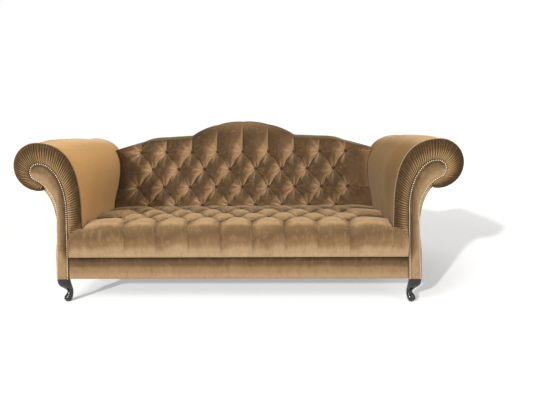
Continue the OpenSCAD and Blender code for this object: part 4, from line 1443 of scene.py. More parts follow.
@dataclass
class Feet:
    """The four feet: short cabrioles before, tapered legs behind."""

    s: Sizes
    lines: Outlines
    cabriole_shares: tuple[tuple[float, float, float], ...] = (
        (1.0, 0.0, 1.04), (0.9, -0.02, 1.04), (0.8, -0.05, 1.05), (0.7, -0.08, 1.0), (0.6, -0.11, 0.84),
        (0.5, -0.13, 0.64), (0.42, -0.14, 0.54), (0.34, -0.14, 0.55), (0.26, -0.14, 0.68), (0.18, -0.12, 0.76),
        (0.1, -0.07, 0.72), (0.04, 0.0, 0.56), (0.0, 0.05, 0.44))
    rear_shares: tuple[tuple[float, float, float], ...] = (
        (1.0, 0.0, 0.94), (0.8, -0.08, 0.86), (0.45, -0.22, 0.66), (0.12, -0.42, 0.5), (0.0, -0.5, 0.5))

    def section(self, w: float, z: float, power: float, x: float, y: float, turns: int = 48) -> Points:
        """One level section of a foot.

        Args:
            w: Width.
            z: Height.
            power: Roundness, 1 for a circle and less for a square with round corners.
            x: Inner corner's x.
            y: Rear corner's y.
            turns: Number of points.

        Returns:
            Points as rows of x, y and z.
        """
        a = np.linspace(0.0, 2.0 * math.pi, turns, endpoint=False)
        c, n = np.cos(a), np.sin(a)
        return np.stack([x + w / 2 + w / 2 * np.sign(c) * np.abs(c) ** power,
                         y - w / 2 + w / 2 * np.sign(n) * np.abs(n) ** power, np.full(turns, z)], 1)

    def foot(self, name: str, shares: Sequence[Sequence[float]], front: bool, side: int) -> bpy.types.Object:
        """Build a foot from its sections.

        Args:
            name: Object's name.
            shares: Height, offset and width of each section as shares.
            front: Whether it is a cabriole.
            side: -1 or 1.

        Returns:
            The foot.
        """
        s = self.s
        table = spline_rows(np.array(shares)[None], 8)[0]
        foot_x = self.lines.fin_x + s.foot_w * 0.66
        rear_y = s.before_rear(s.foot_h, s.wood_t + s.skin_t + s.clr) - s.foot_w * 0.3
        foot_y = s.face_y + s.foot_w * 0.6 if front else rear_y
        x = foot_x - s.foot_w / 2
        y = foot_y + s.foot_w / 2
        rows = []
        for share, offset, width in table:
            share = min(max(share, 0.0), 1.0)
            power = mix(0.62, 1.0, 1.0 - share) if front else 0.45
            shift = offset if front else -offset * 0.2
            rows.append(self.section(width * s.foot_w, share * s.foot_h, power, x + shift * s.foot_w,
                                     y - offset * s.foot_w))
        points = np.stack(rows)
        sole = points[-1:].copy()
        centre = sole.mean(axis=1, keepdims=True)
        points = np.concatenate([points, centre + (sole - centre) * 0.9])
        return closed_object(name, mirror_points(points, side))


# Finishes


class Slot(Enum):
    """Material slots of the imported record."""

    WOOD = "frame_wood"
    TUFTED = "velvet_tufted"
    PLEATED = "velvet_pleated"
    FLAT = "velvet_flat"
    WELT = "welt"
    BUTTON = "button"
    NAIL = "nail"
    HESSIAN = "hessian"
    STUFFING = "stuffing"
    LINING = "dust_cloth"
    STEEL = "steel"
    FOOT = "foot"


Triple = tuple[float, float, float]
Colour = Triple
WHITE: Colour = (1.0, 1.0, 1.0)
UP: Triple = (0.0, 0.0, 1.0)


def rgba(c: Colour) -> tuple[float, float, float, float]:
    """Opaque colour from its three parts."""
    return (c[0], c[1], c[2], 1.0)


class Nodes:
    """Short hand for building a material's nodes.

    Args:
        name: Material's name.
    """

    def __init__(self, name: str) -> None:
        self.material = bpy.data.materials.new(name)
        self.material.use_nodes = True
        self.tree = self.material.node_tree
        self.tree.nodes.clear()
        self.out = self.tree.nodes.new("ShaderNodeOutputMaterial")
        self.shader = self.tree.nodes.new("ShaderNodeBsdfPrincipled")
        self.link(self.shader.outputs["BSDF"], self.out.inputs["Surface"])
        self.place = self.tree.nodes.new("ShaderNodeTexCoord").outputs["Object"]

    def link(self, a: bpy.types.NodeSocket, b: bpy.types.NodeSocket) -> None:
        """Join two sockets."""
        self.tree.links.new(a, b)

    def set(self, **values: object) -> None:
        """Set sockets of the shader, with spaces in their names written as underscores."""
        for key, value in values.items():
            self.shader.inputs[key.replace("_", " ")].default_value = value

    def noise(self, scale: float, detail: float = 3.0, stretch: Optional[Triple] = None,
              distortion: float = 0.0) -> bpy.types.NodeSocket:
        """Add a noise texture in the object's own metres.

        Args:
            scale: Waves per metre.
            detail: Finer layers.
            stretch: Scale along each axis.
            distortion: How far it is stirred.

        Returns:
            Its value.
        """
        node = self.tree.nodes.new("ShaderNodeTexNoise")
        node.inputs["Scale"].default_value = scale
        node.inputs["Detail"].default_value = detail
        node.inputs["Distortion"].default_value = distortion
        place = self.place
        if stretch is not None:
            mapping = self.tree.nodes.new("ShaderNodeMapping")
            mapping.inputs["Scale"].default_value = stretch
            self.link(place, mapping.inputs["Vector"])
            place = mapping.outputs["Vector"]
        self.link(place, node.inputs["Vector"])
        return node.outputs["Fac"]

    def span(self, value: bpy.types.NodeSocket, low: float, high: float, to_low: float = 0.0,
             to_high: float = 1.0) -> bpy.types.NodeSocket:
        """Map a range of values onto another, clamped.

        Args:
            value: Input.
            low: Input that gives to_low.
            high: Input that gives to_high.
            to_low: Result at low.
            to_high: Result at high.

        Returns:
            The mapped value.
        """
        node = self.tree.nodes.new("ShaderNodeMapRange")
        node.interpolation_type = "SMOOTHSTEP"
        for key, number in zip(("From Min", "From Max", "To Min", "To Max"), (low, high, to_low, to_high)):
            node.inputs[key].default_value = number
        self.link(value, node.inputs["Value"])
        return node.outputs["Result"]

    def blend(self, share: bpy.types.NodeSocket, a: object, b: object, kind: str = "MIX") -> bpy.types.NodeSocket:
        """Mix two colours.

        Args:
            share: Share of b.
            a: Colour or socket.
            b: Colour or socket.
            kind: Blend type.

        Returns:
            The mixed colour.
        """
        node = self.tree.nodes.new("ShaderNodeMix")
        node.data_type = "RGBA"
        node.blend_type = kind
        if isinstance(share, float):
            node.inputs[0].default_value = share
        else:
            self.link(share, node.inputs[0])
        for socket, value in ((node.inputs[6], a), (node.inputs[7], b)):
            if isinstance(value, tuple):
                socket.default_value = rgba(value)
            else:
                self.link(value, socket)
        return node.outputs[2]

    def math(self, kind: str, *values: object) -> bpy.types.NodeSocket:
        """Calculate with one or two numbers or sockets.

        Args:
            kind: The operation.
            values: Its inputs.

        Returns:
            The result.
        """
        node = self.tree.nodes.new("ShaderNodeMath")
        node.operation = kind
        for socket, value in zip(node.inputs, values):
            if isinstance(value, (int, float)):
                socket.default_value = value
            else:
                self.link(value, socket)
        return node.outputs[0]

    def facing(self, lean: Triple) -> bpy.types.NodeSocket:
        """How much the cloth faces a direction of the object's own space.

        Args:
            lean: The direction.

        Returns:
            The length of the direction where the cloth faces it, and less elsewhere.
        """
        node = self.tree.nodes.new("ShaderNodeVectorMath")
        node.operation = "DOT_PRODUCT"
        node.inputs[1].default_value = lean
        self.link(self.place.node.outputs["Normal"], node.inputs[0])
        return node.outputs["Value"]

    def height(self) -> bpy.types.NodeSocket:
        """Height in the object's own metres.

        Returns:
            The height.
        """
        node = self.tree.nodes.new("ShaderNodeSeparateXYZ")
        self.link(self.place, node.inputs[0])
        return node.outputs["Z"]

    def ramp(self, value: bpy.types.NodeSocket, stops: Sequence[tuple[float, Colour]]) -> bpy.types.NodeSocket:
        """Colour by value.

        Args:
            value: Input.
            stops: Values in rising order with their colours.

        Returns:
            The colour.
        """
        low, high = stops[0][0], stops[-1][0]
        node = self.tree.nodes.new("ShaderNodeValToRGB")
        ramp = node.color_ramp
        ramp.interpolation = "EASE"
        while len(ramp.elements) < len(stops):
            ramp.elements.new(0.5)
        for element, (place, colour) in zip(ramp.elements, stops):
            element.position = (place - low) / (high - low)
            element.color = rgba(colour)
        share = self.tree.nodes.new("ShaderNodeMapRange")
        share.inputs["From Min"].default_value = low
        share.inputs["From Max"].default_value = high
        self.link(value, share.inputs["Value"])
        self.link(share.outputs["Result"], node.inputs["Fac"])
        return node.outputs["Color"]

    def folds(self, reach: float, count: int) -> tuple[bpy.types.NodeSocket, bpy.types.NodeSocket]:
        """Small folds round the buttons, from the ways stored on the mesh.

        Args:
            reach: How far they run in metres.
            count: Folds round a button.

        Returns:
            How near the button is, and the folds' height from 0 to 1.
        """
        x, v, phase = (self.attribute(name) for name in ("pull_x", "pull_v", "pull_phase"))
        r = self.math("SQRT", self.math("ADD", self.math("MULTIPLY", x, x), self.math("MULTIPLY", v, v)))
        share = self.math("POWER", self.math("DIVIDE", r, reach), 1.5)
        near = self.math("EXPONENT", self.math("MULTIPLY", share, -1.0))
        angle = self.math("ARCTAN2", v, x)
        stir = self.math("MULTIPLY", self.noise(60.0, 2.0), 3.0)
        first = self.math("SINE", self.math("ADD", self.math("ADD", self.math("MULTIPLY", angle, count), phase), stir))
        second = self.math("SINE", self.math("SUBTRACT", self.math("MULTIPLY", angle, count + 6), phase))
        wave = self.math("ADD", self.math("MULTIPLY", first, 0.32), self.math("MULTIPLY", second, 0.18))
        return near, self.math("ADD", wave, 0.5)

    def attribute(self, name: str) -> bpy.types.NodeSocket:
        """Read a number stored on the mesh.

        Args:
            name: Attribute's name.

        Returns:
            The number.
        """
        node = self.tree.nodes.new("ShaderNodeAttribute")
        node.attribute_name = name
        return node.outputs["Fac"]

    def bumps(self, layers: Sequence[tuple[bpy.types.NodeSocket, float, float]]) -> None:
        """Add bumps, one over the other.

        Args:
            layers: Height, strength and depth in metres of each.
        """
        normal = None
        for height, strength, depth in layers:
            node = self.tree.nodes.new("ShaderNodeBump")
            node.inputs["Strength"].default_value = strength
            node.inputs["Distance"].default_value = depth
            self.link(height, node.inputs["Height"])
            if normal is not None:
                self.link(normal, node.inputs["Normal"])
            normal = node.outputs["Normal"]
        if normal is not None:
            self.link(normal, self.shader.inputs["Normal"])


Stops = tuple[tuple[float, Colour], ...]

# Painted light and shade on the buttoned back, by the way the cloth faces: parts facing right, front and down are
# painted lighter.
BACK_PAINTED_LIGHT: Stops = ((-0.55, (0.030, 0.016, 0.006)), (-0.1, (0.050, 0.028, 0.012)), (0.24, (0.088, 0.049, 0.022)),
                   (0.5, (0.22, 0.127, 0.060)), (0.85, (0.47, 0.290, 0.148)))
# Painted light and shade down the front roll by height: light where it turns under, darkest across its upper front, a
# little lighter at the top.
SEAT_PAINTED_LIGHT: Stops = ((0.250, (0.40, 0.265, 0.155)), (0.285, (0.34, 0.222, 0.125)), (0.330, (0.185, 0.110, 0.052)),
                   (0.376, (0.118, 0.070, 0.033)), (0.410, (0.140, 0.086, 0.041)), (0.440, (0.20, 0.126, 0.064)))
# Painted light on the seat's crowns and painted shade in its creases, for the parts that face up.
DECK_PAINTED_LIGHT: Stops = ((0.15, (0.022, 0.013, 0.005)), (0.34, (0.075, 0.045, 0.020)), (0.55, (0.18, 0.111, 0.053)),
                   (0.8, (0.29, 0.185, 0.094)), (1.15, (0.32, 0.208, 0.110)))
# Painted light and shade on the arms, by the way the cloth faces: parts facing right and up are painted lighter, so the
# left arm's inside is lit and the right arm's inside shaded.
ARM_PAINTED_LIGHT: Stops = ((-1.0, (0.112, 0.059, 0.019)), (-0.45, (0.150, 0.083, 0.029)), (0.30, (0.37, 0.235, 0.114)),
                  (0.6, (0.47, 0.284, 0.118)), (1.0, (0.56, 0.310, 0.116)))
# Painted light and shade on the pleated border, by the tone stored on its mesh.
PLEAT_PAINTED_LIGHT: Stops = ((0.0, (0.030, 0.017, 0.007)), (0.45, (0.090, 0.051, 0.021)), (1.0, (0.31, 0.190, 0.088)))
# Flat velvet, painted a little lighter where it faces up: painted light.
FLAT_PAINTED_LIGHT: Stops = ((-1.0, (0.30, 0.18, 0.085)), (1.0, (0.36, 0.225, 0.115)))
# Painted shade on the facings: darkest along the inner edge, lighter away from it and low down.
FACING_PAINTED_SHADE: Stops = ((0.0, (0.050, 0.030, 0.013)), (0.28, (0.075, 0.046, 0.020)), (0.6, (0.165, 0.103, 0.050)),
                     (1.0, (0.29, 0.19, 0.10)))
# Painted shadow on the front rail: darkest at its top under the front roll, lighter towards the floor.
RAIL_PAINTED_SHADOW: Stops = ((0.134, (0.36, 0.20, 0.090)), (0.142, (0.34, 0.215, 0.115)), (0.185, (0.24, 0.148, 0.074)),
                   (0.215, (0.12, 0.070, 0.034)), (0.25, (0.040, 0.023, 0.011)))


class Shade(Enum):
    """What the colour of a velvet follows."""

    LEAN = "the way the cloth faces"
    CROWN = "the mesh's own heights"
    HEIGHT = "the height over the floor"


@dataclass(frozen=True)
class Velvet:
    """Cotton velvet with a brushed pile, whose colours carry painted light and shade.

    Args:
        name: Material's name.
        stops: Colours of the pile with painted light and shade, by what it follows.
        shade: What the colour follows.
        lean: Direction that the cloth faces where it is painted lightest, as painted light from that side.
        sheen: Strength of the pile's sheen.
        folds: Whether small folds run out from the buttons.
        ray: Colour of the painted highlight on the lit side of those folds, and of the lighter brushed strokes.
        crease_shade: How much painted shade darkens the creases.
        rim: Colour painted on the parts that face up, for how the light falls on the top edge.
        deck: Colours painted on the parts that face up, by the mesh's own heights: painted light on the crowns and
            painted shade in the creases.
        high: How much painted light brightens the parts near the top edge.
        lit_top_tone: Colour into which they brighten.
        shadow_lean: Direction that the cloth faces where it is painted darkest, as painted shade.
        shadow_tone: Colour of that painted shade.
        crease_shade_tone: Colour of the painted shade in the creases, where it isn't the first stop's.
        patches: How much the pile is brushed unevenly.
        streak: Stretch of the brushed strokes along each axis.
        fold_reach: How far the small folds run, in metres.
        fold_count: Number of them round a button.
        fold_side: Distances beside a button between which they turn from lit to unlit.
        tint: Colour of the sheen.
    """

    name: str
    stops: Stops = FLAT_PAINTED_LIGHT
    shade: Shade = Shade.LEAN
    lean: Triple = UP
    sheen: float = 0.25
    folds: bool = False
    ray: Colour = (0.54, 0.340, 0.182)
    crease_shade: float = 0.0
    rim: Optional[Colour] = None
    deck: Optional[Stops] = None
    high: float = 0.0
    lit_top_tone: Colour = (0.25, 0.152, 0.074)
    shadow_lean: Optional[Triple] = None
    shadow_tone: Colour = (0.035, 0.021, 0.009)
    crease_shade_tone: Colour = (0.03, 0.018, 0.007)
    patches: float = 0.16
    streak: Triple = (1.0, 1.0, 0.5)
    fold_reach: float = 0.042
    fold_count: int = 9
    fold_side: tuple[float, float] = (-0.034, 0.012)
    tint: Colour = (1.0, 0.80, 0.52)

    def build(self) -> bpy.types.Material:
        """Make the material.

        Returns:
            The material.
        """
        n = Nodes(self.name)
        grain = n.noise(150.0, 3.0)
        pile = n.noise(900.0, 2.0)
        strokes = n.noise(55.0, 3.0, self.streak, 0.8)
        brushed = n.noise(12.0, 2.0, self.streak, 0.5)
        sources = {Shade.LEAN: lambda: n.facing(self.lean), Shade.CROWN: lambda: n.attribute("crown"),
                   Shade.HEIGHT: n.height}
        reach = self.stops[-1][0] - self.stops[0][0]
        stirred = n.math("ADD", sources[self.shade](), n.math("MULTIPLY", n.math("SUBTRACT", brushed, 0.5),
                                                              self.patches * reach))
        # Painted shade: for colour by height, the way the cloth faces shifts the ramp, shading the sides of the
        # channels.
        if self.shade is Shade.HEIGHT:
            stirred = n.math("ADD", stirred, n.facing(self.lean))
        # Painted light and shade: the ramp paints the velvet lighter and darker by what it follows.
        colour = n.ramp(stirred, self.stops)
        # Painted shade: the creases are darkened where the mesh's heights are low.
        if self.crease_shade > 0.0:
            low = n.span(n.attribute("crown"), 0.3, 0.75, self.crease_shade, 0.0)
            colour = n.blend(low, colour, self.stops[0][1] if self.shade is Shade.LEAN else self.crease_shade_tone)
        # Painted shade: parts that face the given direction are darkened.
        if self.shadow_lean is not None:
            colour = n.blend(n.span(n.facing(self.shadow_lean), 0.0, 0.75, 0.0, 0.72), colour, self.shadow_tone)
        # Painted light: the parts near the top edge are painted lighter by their height.
        if self.high > 0.0:
            colour = n.blend(n.span(n.height(), 0.86, 1.0, 0.0, self.high), colour, self.lit_top_tone)
        # Painted light on the top edge: the parts that face up are given their own colour.
        if self.rim is not None:
            colour = n.blend(n.span(n.facing(UP), 0.84, 0.99), colour, self.rim)
        # Painted light and shade on the seat's deck: lit crowns, shaded creases.
        if self.deck is not None:
            lumps = n.math("ADD", n.attribute("crown"), n.math("MULTIPLY", n.math("SUBTRACT", brushed, 0.5), 0.5))
            colour = n.blend(n.span(n.facing(UP), 0.5, 0.85), colour, n.ramp(lumps, self.deck))
        layers = [(grain, 0.2, 0.0009), (pile, 0.2, 0.0004)]
        # Painted highlight: the small folds are painted light on one side of each button.
        if self.folds:
            near, wave = n.folds(self.fold_reach, self.fold_count)
            side = n.span(n.attribute("pull_x"), *self.fold_side, 1.0, 0.14)
            glow = n.math("MULTIPLY", n.math("MULTIPLY", near, side), n.span(wave, 0.25, 0.95, 0.25, 1.0))
            colour = n.blend(glow, colour, self.ray)
            layers.insert(0, (n.math("MULTIPLY", wave, near), 0.8, 0.004))
        deep = min((stop[1] for stop in self.stops), key=lambda tone: tone[0])
        colour = n.blend(n.span(grain, 0.4, 0.75, 0.0, 0.12 if self.shade is Shade.HEIGHT else 0.2), colour, deep)
        colour = n.blend(n.span(strokes, 0.5, 0.75, 0.0, self.patches * 0.9), colour, deep)
        colour = n.blend(n.span(strokes, 0.26, 0.5, self.patches * 0.4, 0.0), colour, self.ray)
        n.link(colour, n.shader.inputs["Base Color"])
        n.set(Roughness=0.9, Sheen_Weight=self.sheen, Sheen_Roughness=0.35, Sheen_Tint=rgba(self.tint),
              Specular_IOR_Level=0.12)
        n.bumps(layers)
        return n.material


@dataclass(frozen=True)
class Lacquer:
    """Black gloss lacquer on wood."""

    name: str
    colour: Colour = (0.006, 0.006, 0.007)

    def build(self) -> bpy.types.Material:
        """Make the material.

        Returns:
            The material.
        """
        n = Nodes(self.name)
        wear = n.span(n.noise(60.0, 5.0), 0.55, 0.75)
        n.link(n.blend(wear, self.colour, (0.028, 0.026, 0.024)), n.shader.inputs["Base Color"])
        n.link(n.span(n.noise(35.0, 4.0), 0.3, 0.8, 0.12, 0.30), n.shader.inputs["Roughness"])
        n.set(Coat_Weight=0.35, Coat_Roughness=0.08, Specular_IOR_Level=0.4)
        n.bumps([(n.noise(22.0, 3.0, (1.0, 1.0, 0.25)), 0.25, 0.0012), (n.noise(240.0, 2.0), 0.08, 0.0003)])
        return n.material


@dataclass(frozen=True)
class Metal:
    """Bright metal with faint scratches."""

    name: str
    colour: Colour
    dull: Colour
    roughness: float = 0.28
    metallic: float = 1.0

    def build(self) -> bpy.types.Material:
        """Make the material.

        Returns:
            The material.
        """
        n = Nodes(self.name)
        n.link(n.blend(n.span(n.noise(180.0, 3.0), 0.45, 0.75), self.colour, self.dull), n.shader.inputs["Base Color"])
        n.set(Metallic=self.metallic, Roughness=self.roughness)
        n.bumps([(n.noise(1200.0, 2.0), 0.1, 0.0001)])
        return n.material


@dataclass(frozen=True)
class Wood:
    """Planed hardwood with its grain along the sofa."""

    name: str
    light: Colour = (0.52, 0.36, 0.20)
    dark: Colour = (0.33, 0.20, 0.10)

    def build(self) -> bpy.types.Material:
        """Make the material.

        Returns:
            The material.
        """
        n = Nodes(self.name)
        grain = n.noise(60.0, 6.0, (0.08, 1.0, 1.0), 0.6)
        n.link(n.blend(n.span(grain, 0.35, 0.7), self.light, self.dark), n.shader.inputs["Base Color"])
        n.set(Roughness=0.7)
        n.bumps([(grain, 0.3, 0.0006)])
        return n.material


@dataclass(frozen=True)
class Weave:
    """Plain woven cloth, such as hessian or lining."""

    name: str
    colour: Colour
    shade: Colour
    threads: float = 520.0

    def build(self) -> bpy.types.Material:
        """Make the material.

        Returns:
            The material.
        """
        n = Nodes(self.name)
        bands = []
        for axis in ("X", "Z"):
            wave = n.tree.nodes.new("ShaderNodeTexWave")
            wave.wave_type = "BANDS"
            wave.bands_direction = axis
            wave.inputs["Scale"].default_value = self.threads / 20.0
            wave.inputs["Distortion"].default_value = 0.6
            n.link(n.place, wave.inputs["Vector"])
            bands.append(wave.outputs["Fac"])
        n.link(n.blend(n.span(n.noise(40.0, 4.0), 0.35, 0.7), self.colour, self.shade), n.shader.inputs["Base Color"])
        n.set(Roughness=0.95)
        n.bumps([(bands[0], 0.3, 0.0004), (bands[1], 0.3, 0.0004)])
        return n.material


class Wardrobe:
    """All finishes of the sofa, one for each slot."""

    def __init__(self) -> None:
        self.finishes: dict[Slot, bpy.types.Material] = {
            Slot.TUFTED: Velvet("velvet_buttoned", BACK_PAINTED_LIGHT, lean=(0.75, -0.30, -0.45), folds=True,
                                rim=(0.085, 0.052, 0.023), high=0.6).build(),
            Slot.PLEATED: Velvet("velvet_pleated", PLEAT_PAINTED_LIGHT, Shade.CROWN, sheen=0.2, shadow_lean=(0.75, -0.15, 0.45)).build(),
            Slot.FLAT: Velvet("velvet_flat").build(),
            # The piping is painted lighter where it faces up: painted light.
            Slot.WELT: Velvet("velvet_piping", ((-1.0, (0.16, 0.096, 0.043)), (1.0, (0.33, 0.208, 0.102)))).build(),
            # The buttons are painted lighter where they face up, right and front: painted light.
            Slot.BUTTON: Velvet("velvet_button", ((-1.0, (0.012, 0.007, 0.003)), (1.0, (0.048, 0.028, 0.012))),
                                lean=(0.5, -0.5, 0.5), sheen=0.15).build(),
            Slot.NAIL: Metal("pale_brass", (0.74, 0.62, 0.49), (0.36, 0.25, 0.16), 0.42, 0.5).build(),
            Slot.STEEL: Metal("zinc", (0.60, 0.61, 0.63), (0.42, 0.43, 0.45)).build(),
            Slot.WOOD: Wood("hardwood").build(),
            Slot.HESSIAN: Weave("hessian", (0.50, 0.40, 0.25), (0.36, 0.28, 0.17)).build(),
            Slot.STUFFING: Weave("hair_pad", (0.62, 0.56, 0.44), (0.45, 0.38, 0.28), 300.0).build(),
            Slot.LINING: Weave("black_lining", (0.02, 0.02, 0.021), (0.035, 0.034, 0.033), 900.0).build(),
            Slot.FOOT: Lacquer("black_lacquer").build(),
        }
        self.arm_velvet = Velvet("velvet_arm", ARM_PAINTED_LIGHT, lean=(0.94, 0.0, 0.34), sheen=0.3, patches=0.06).build()
        self.seat_velvet = Velvet("velvet_seat", SEAT_PAINTED_LIGHT, Shade.HEIGHT, lean=(-0.09, 0.0, 0.0), crease_shade=0.45, folds=True,
                                  deck=DECK_PAINTED_LIGHT, patches=0.35, streak=(1.0, 1.0, 0.35)).build()
        self.facing_velvet = Velvet("velvet_facing", FACING_PAINTED_SHADE, Shade.CROWN, patches=0.25).build()
        self.rail_velvet = Velvet("velvet_rail", RAIL_PAINTED_SHADOW, Shade.HEIGHT, lean=(0.0, 0.0, 0.0), patches=0.2,
                                  streak=(1.0, 1.0, 0.4)).build()

    def dress(self, obj: bpy.types.Object, slot: Slot, material: Optional[bpy.types.Material] = None) -> None:
        """Give a new piece the finish of its slot.

        Args:
            obj: The piece.
            slot: The record's slot.
            material: Another finish of the same slot.
        """
        obj.data.materials.clear()
        obj.data.materials.append(material or self.finishes[slot])


class Sofa:
    """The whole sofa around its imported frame."""

    def __init__(self) -> None:
        self.s = Sizes()
        self.lines = Outlines(self.s)
        self.wardrobe = Wardrobe()

    def add(self, obj: bpy.types.Object, slot: Slot, *nodes: str, fill: Optional[float] = None,
            material: Optional[bpy.types.Material] = None) -> bpy.types.Object:
        """Dress a piece, let it ride on the sofa and hide the nodes that it stands for.

        Args:
            obj: The piece.
            slot: Its slot.
            nodes: Nodes that it stands for.
            fill: How tight it is stuffed, for a padded piece; not used.
            material: Another finish of the same slot.

        Returns:
            The piece.
        """
        self.wardrobe.dress(obj, slot, material)
        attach(obj, BODY)
        if nodes:
            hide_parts(*nodes)
        LOG.info("%s: %d faces", obj.name, len(obj.data.polygons))
        return obj

    def frame_nodes(self) -> None:
        """Give the frame's own nodes their finishes."""
        slots = {row["node"]: Slot(row["material_slot"]) for row in frame["record"]["subparts"]}
        for name, obj in frame["nodes"].items():
            material = self.wardrobe.finishes[slots[name]]
            if obj.material_slots:
                for place in obj.material_slots:
                    place.material = material
            else:
                obj.data.materials.append(material)

    def build(self) -> None:
        """Build every piece in order."""
        self.frame_nodes()
        soft = Upholstery(self.s, self.lines)
        self.add(soft.back(), Slot.TUFTED, "back_pad", fill=0.8)
        self.add(soft.seat(), Slot.TUFTED, "seat_pad", "seat_front_roll", fill=0.8, material=self.wardrobe.seat_velvet)
        back, seat = soft.button_spots()
        self.add(soft.buttons("back_button_set", back), Slot.BUTTON, "back_buttons")
        self.add(soft.buttons("seat_button_set", seat), Slot.BUTTON, "seat_buttons")
        covers = Covers(self.s, self.lines)
        self.add(covers.front_rail(), Slot.FLAT, "front_rail_cover", material=self.wardrobe.rail_velvet)
        self.add(covers.outside_back(), Slot.FLAT, "outside_back")
        feet = Feet(self.s, self.lines)
        for side in (-1, 1):
            name = side_name(side)
            arm = Arm(self.s, self.lines, side)
            self.add(soft.ear(side), Slot.TUFTED, fill=0.8, material=self.wardrobe.seat_velvet)
            self.add(arm.padding(), Slot.TUFTED, "arm_pad_" + name, fill=0.9, material=self.wardrobe.arm_velvet)
            self.add(arm.border(), Slot.PLEATED, "pleated_border_" + name, fill=0.8)
            self.add(arm.welt(), Slot.WELT, "welt_" + name)
            self.add(arm.facing(), Slot.FLAT, "facing_" + name, fill=0.9, material=self.wardrobe.facing_velvet)
            self.add(arm.nails(), Slot.NAIL, "nail_trim_" + name)
            self.add(covers.outside_arm(side), Slot.FLAT, "outside_arm_" + name)
            self.add(feet.foot("cabriole_foot_" + name, feet.cabriole_shares, True, side), Slot.FOOT,
                     "front_foot_" + name)
            self.add(feet.foot("tapered_foot_" + name, feet.rear_shares, False, side), Slot.FOOT, "rear_foot_" + name)


# Studio


@dataclass(frozen=True)
class Lamp:
    """A soft square lamp.

    Args:
        name: Lamp's name.
        place: Where it stands.
        aim: Where it points.
        size: Side of the square in metres.
        power: Watts.
        colour: Colour of its light.
    """

    name: str
    place: Triple
    aim: Triple
    size: float
    power: float
    colour: Colour

    def hang(self) -> None:
        """Add the lamp to the scene."""
        data = bpy.data.lights.new(self.name, "AREA")
        data.size = self.size
        data.energy = self.power
        data.color = self.colour
        obj = bpy.data.objects.new(self.name, data)
        obj.location = self.place
        obj.rotation_euler = (Vector(self.aim) - Vector(self.place)).to_track_quat("-Z", "Y").to_euler()
        bpy.context.scene.collection.objects.link(obj)


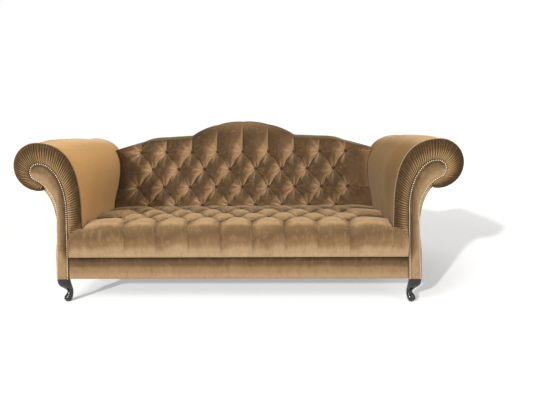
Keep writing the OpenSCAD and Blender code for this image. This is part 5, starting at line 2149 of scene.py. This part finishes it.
@dataclass(frozen=True)
class Studio:
    """Camera at the photograph's angle, soft lamps, and a white floor that keeps the sofa's shadow.

    Args:
        eye: Where the camera stands.
        yaw: Its turn about the vertical, in degrees.
        pitch: Its tilt downwards, in degrees.
        roll: Its roll, in degrees.
        focal_px: Focal length in pixels of an image of image_w.
        shift_px: Shift of the image's centre in the same pixels.
        image_w: Width of that image.
        sensor: Width of the sensor in millimetres.
        lamps: Soft lamps round the sofa.
        sun: Way of the sun's light, from the front left.
        sun_power: Its strength.
        sun_angle: Its width in degrees.
        room_colour: Colour of the light from all round.
        room_light: Strength of that light.
        floor_half: Half the floor's side.
        floor_grey: Colour of the floor.
        floor_glow: White added to the floor round the sofa, as the camera sees it.
        far_glow: White added to it far away.
        glow_way: Distances between which the one turns into the other.
    """

    eye: Triple = (0.178, -2.971, 0.907)
    yaw: float = -2.13
    pitch: float = 8.08
    roll: float = -0.71
    focal_px: float = 503.0
    shift_px: float = -14.5
    image_w: int = 533
    sensor: float = 36.0
    lamps: tuple[Lamp, ...] = (Lamp("key", (-2.2, -3.4, 2.9), (0.0, 0.0, 0.45), 1.6, 85.0, (1.0, 0.97, 0.92)),
                               Lamp("fill", (2.9, -2.6, 1.9), (0.0, 0.0, 0.5), 2.2, 45.0, (1.0, 0.97, 0.93)),
                               Lamp("top", (0.0, -0.6, 3.4), (0.0, 0.0, 0.4), 2.4, 60.0, (1.0, 0.98, 0.95)))
    sun: Triple = (1.5, 2.6, -1.0)
    sun_power: float = 2.3
    sun_angle: float = 2.0
    room_colour: Colour = (1.0, 0.99, 0.97)
    room_light: float = 0.42
    floor_half: float = 30.0
    floor_grey: Colour = (0.80, 0.80, 0.80)
    floor_glow: float = 0.40
    far_glow: float = 0.75
    glow_way: tuple[float, float] = (2.0, 6.0)

    def camera(self) -> None:
        """Place the camera."""
        yaw, pitch, roll = (math.radians(a) for a in (self.yaw, self.pitch, self.roll))
        f = Vector((math.sin(yaw) * math.cos(pitch), math.cos(yaw) * math.cos(pitch), -math.sin(pitch)))
        r = f.cross(Vector(UP)).normalized()
        u = r.cross(f)
        right = math.cos(roll) * r + math.sin(roll) * u
        up = -math.sin(roll) * r + math.cos(roll) * u
        data = bpy.data.cameras.new("camera")
        data.sensor_width = self.sensor
        data.lens = self.focal_px * self.sensor / self.image_w
        data.shift_x = -self.shift_px / self.image_w
        data.clip_start = 0.05
        obj = bpy.data.objects.new("camera", data)
        obj.matrix_world = Matrix(((right.x, up.x, -f.x, self.eye[0]), (right.y, up.y, -f.y, self.eye[1]),
                                   (right.z, up.z, -f.z, self.eye[2]), (0.0, 0.0, 0.0, 1.0)))
        bpy.context.scene.collection.objects.link(obj)
        bpy.context.scene.camera = obj

    def floor(self) -> None:
        """Lay the floor."""
        corners = np.array([(-1, -1, 0), (1, -1, 0), (1, 1, 0), (-1, 1, 0)]) * self.floor_half
        obj = add_object("floor", corners, [(0, 1, 2, 3)], smooth=False)
        n = Nodes("white_floor")
        n.set(Base_Color=rgba(self.floor_grey), Roughness=0.9, Specular_IOR_Level=0.0, Emission_Color=rgba(WHITE))
        tilt = n.tree.nodes.new("ShaderNodeCombineXYZ")
        for socket, value in zip(tilt.inputs, -Vector(self.sun).normalized()):
            socket.default_value = value
        n.link(tilt.outputs[0], n.shader.inputs["Normal"])
        rays = n.tree.nodes.new("ShaderNodeLightPath")
        glow = n.math("MAXIMUM", rays.outputs["Is Camera Ray"], rays.outputs["Is Glossy Ray"])
        away = n.tree.nodes.new("ShaderNodeVectorMath")
        away.operation = "LENGTH"
        n.link(n.place, away.inputs[0])
        strength = n.span(away.outputs["Value"], *self.glow_way, self.floor_glow, self.far_glow)
        n.link(n.math("MULTIPLY", glow, strength), n.shader.inputs["Emission Strength"])
        obj.data.materials.append(n.material)

    def world(self) -> None:
        """Light the room softly and show white where nothing stands."""
        world = bpy.data.worlds.new("room")
        bpy.context.scene.world = world
        world.use_nodes = True
        tree = world.node_tree
        tree.nodes.clear()
        out = tree.nodes.new("ShaderNodeOutputWorld")
        room = tree.nodes.new("ShaderNodeBackground")
        room.inputs["Color"].default_value = rgba(self.room_colour)
        room.inputs["Strength"].default_value = self.room_light
        white = tree.nodes.new("ShaderNodeBackground")
        white.inputs["Color"].default_value = rgba(WHITE)
        rays = tree.nodes.new("ShaderNodeLightPath")
        pick = tree.nodes.new("ShaderNodeMixShader")
        tree.links.new(rays.outputs["Is Camera Ray"], pick.inputs[0])
        tree.links.new(room.outputs[0], pick.inputs[1])
        tree.links.new(white.outputs[0], pick.inputs[2])
        tree.links.new(pick.outputs[0], out.inputs["Surface"])

    def build(self) -> None:
        """Set up the room, the lamps and the camera."""
        bpy.context.scene.view_settings.view_transform = "Standard"
        self.world()
        self.floor()
        sun = bpy.data.lights.new("sun", "SUN")
        sun.energy = self.sun_power
        sun.angle = math.radians(self.sun_angle)
        low = bpy.data.objects.new("sun", sun)
        low.rotation_euler = Vector(self.sun).to_track_quat("-Z", "Y").to_euler()
        bpy.context.scene.collection.objects.link(low)
        for lamp in self.lamps:
            lamp.hang()
        self.camera()


def main() -> None:
    """Build the sofa and its studio."""
    logging.basicConfig(level=logging.INFO, format="%(name)s: %(message)s")
    Sofa().build()
    Studio().build()


if __name__ == "__main__":
    main()
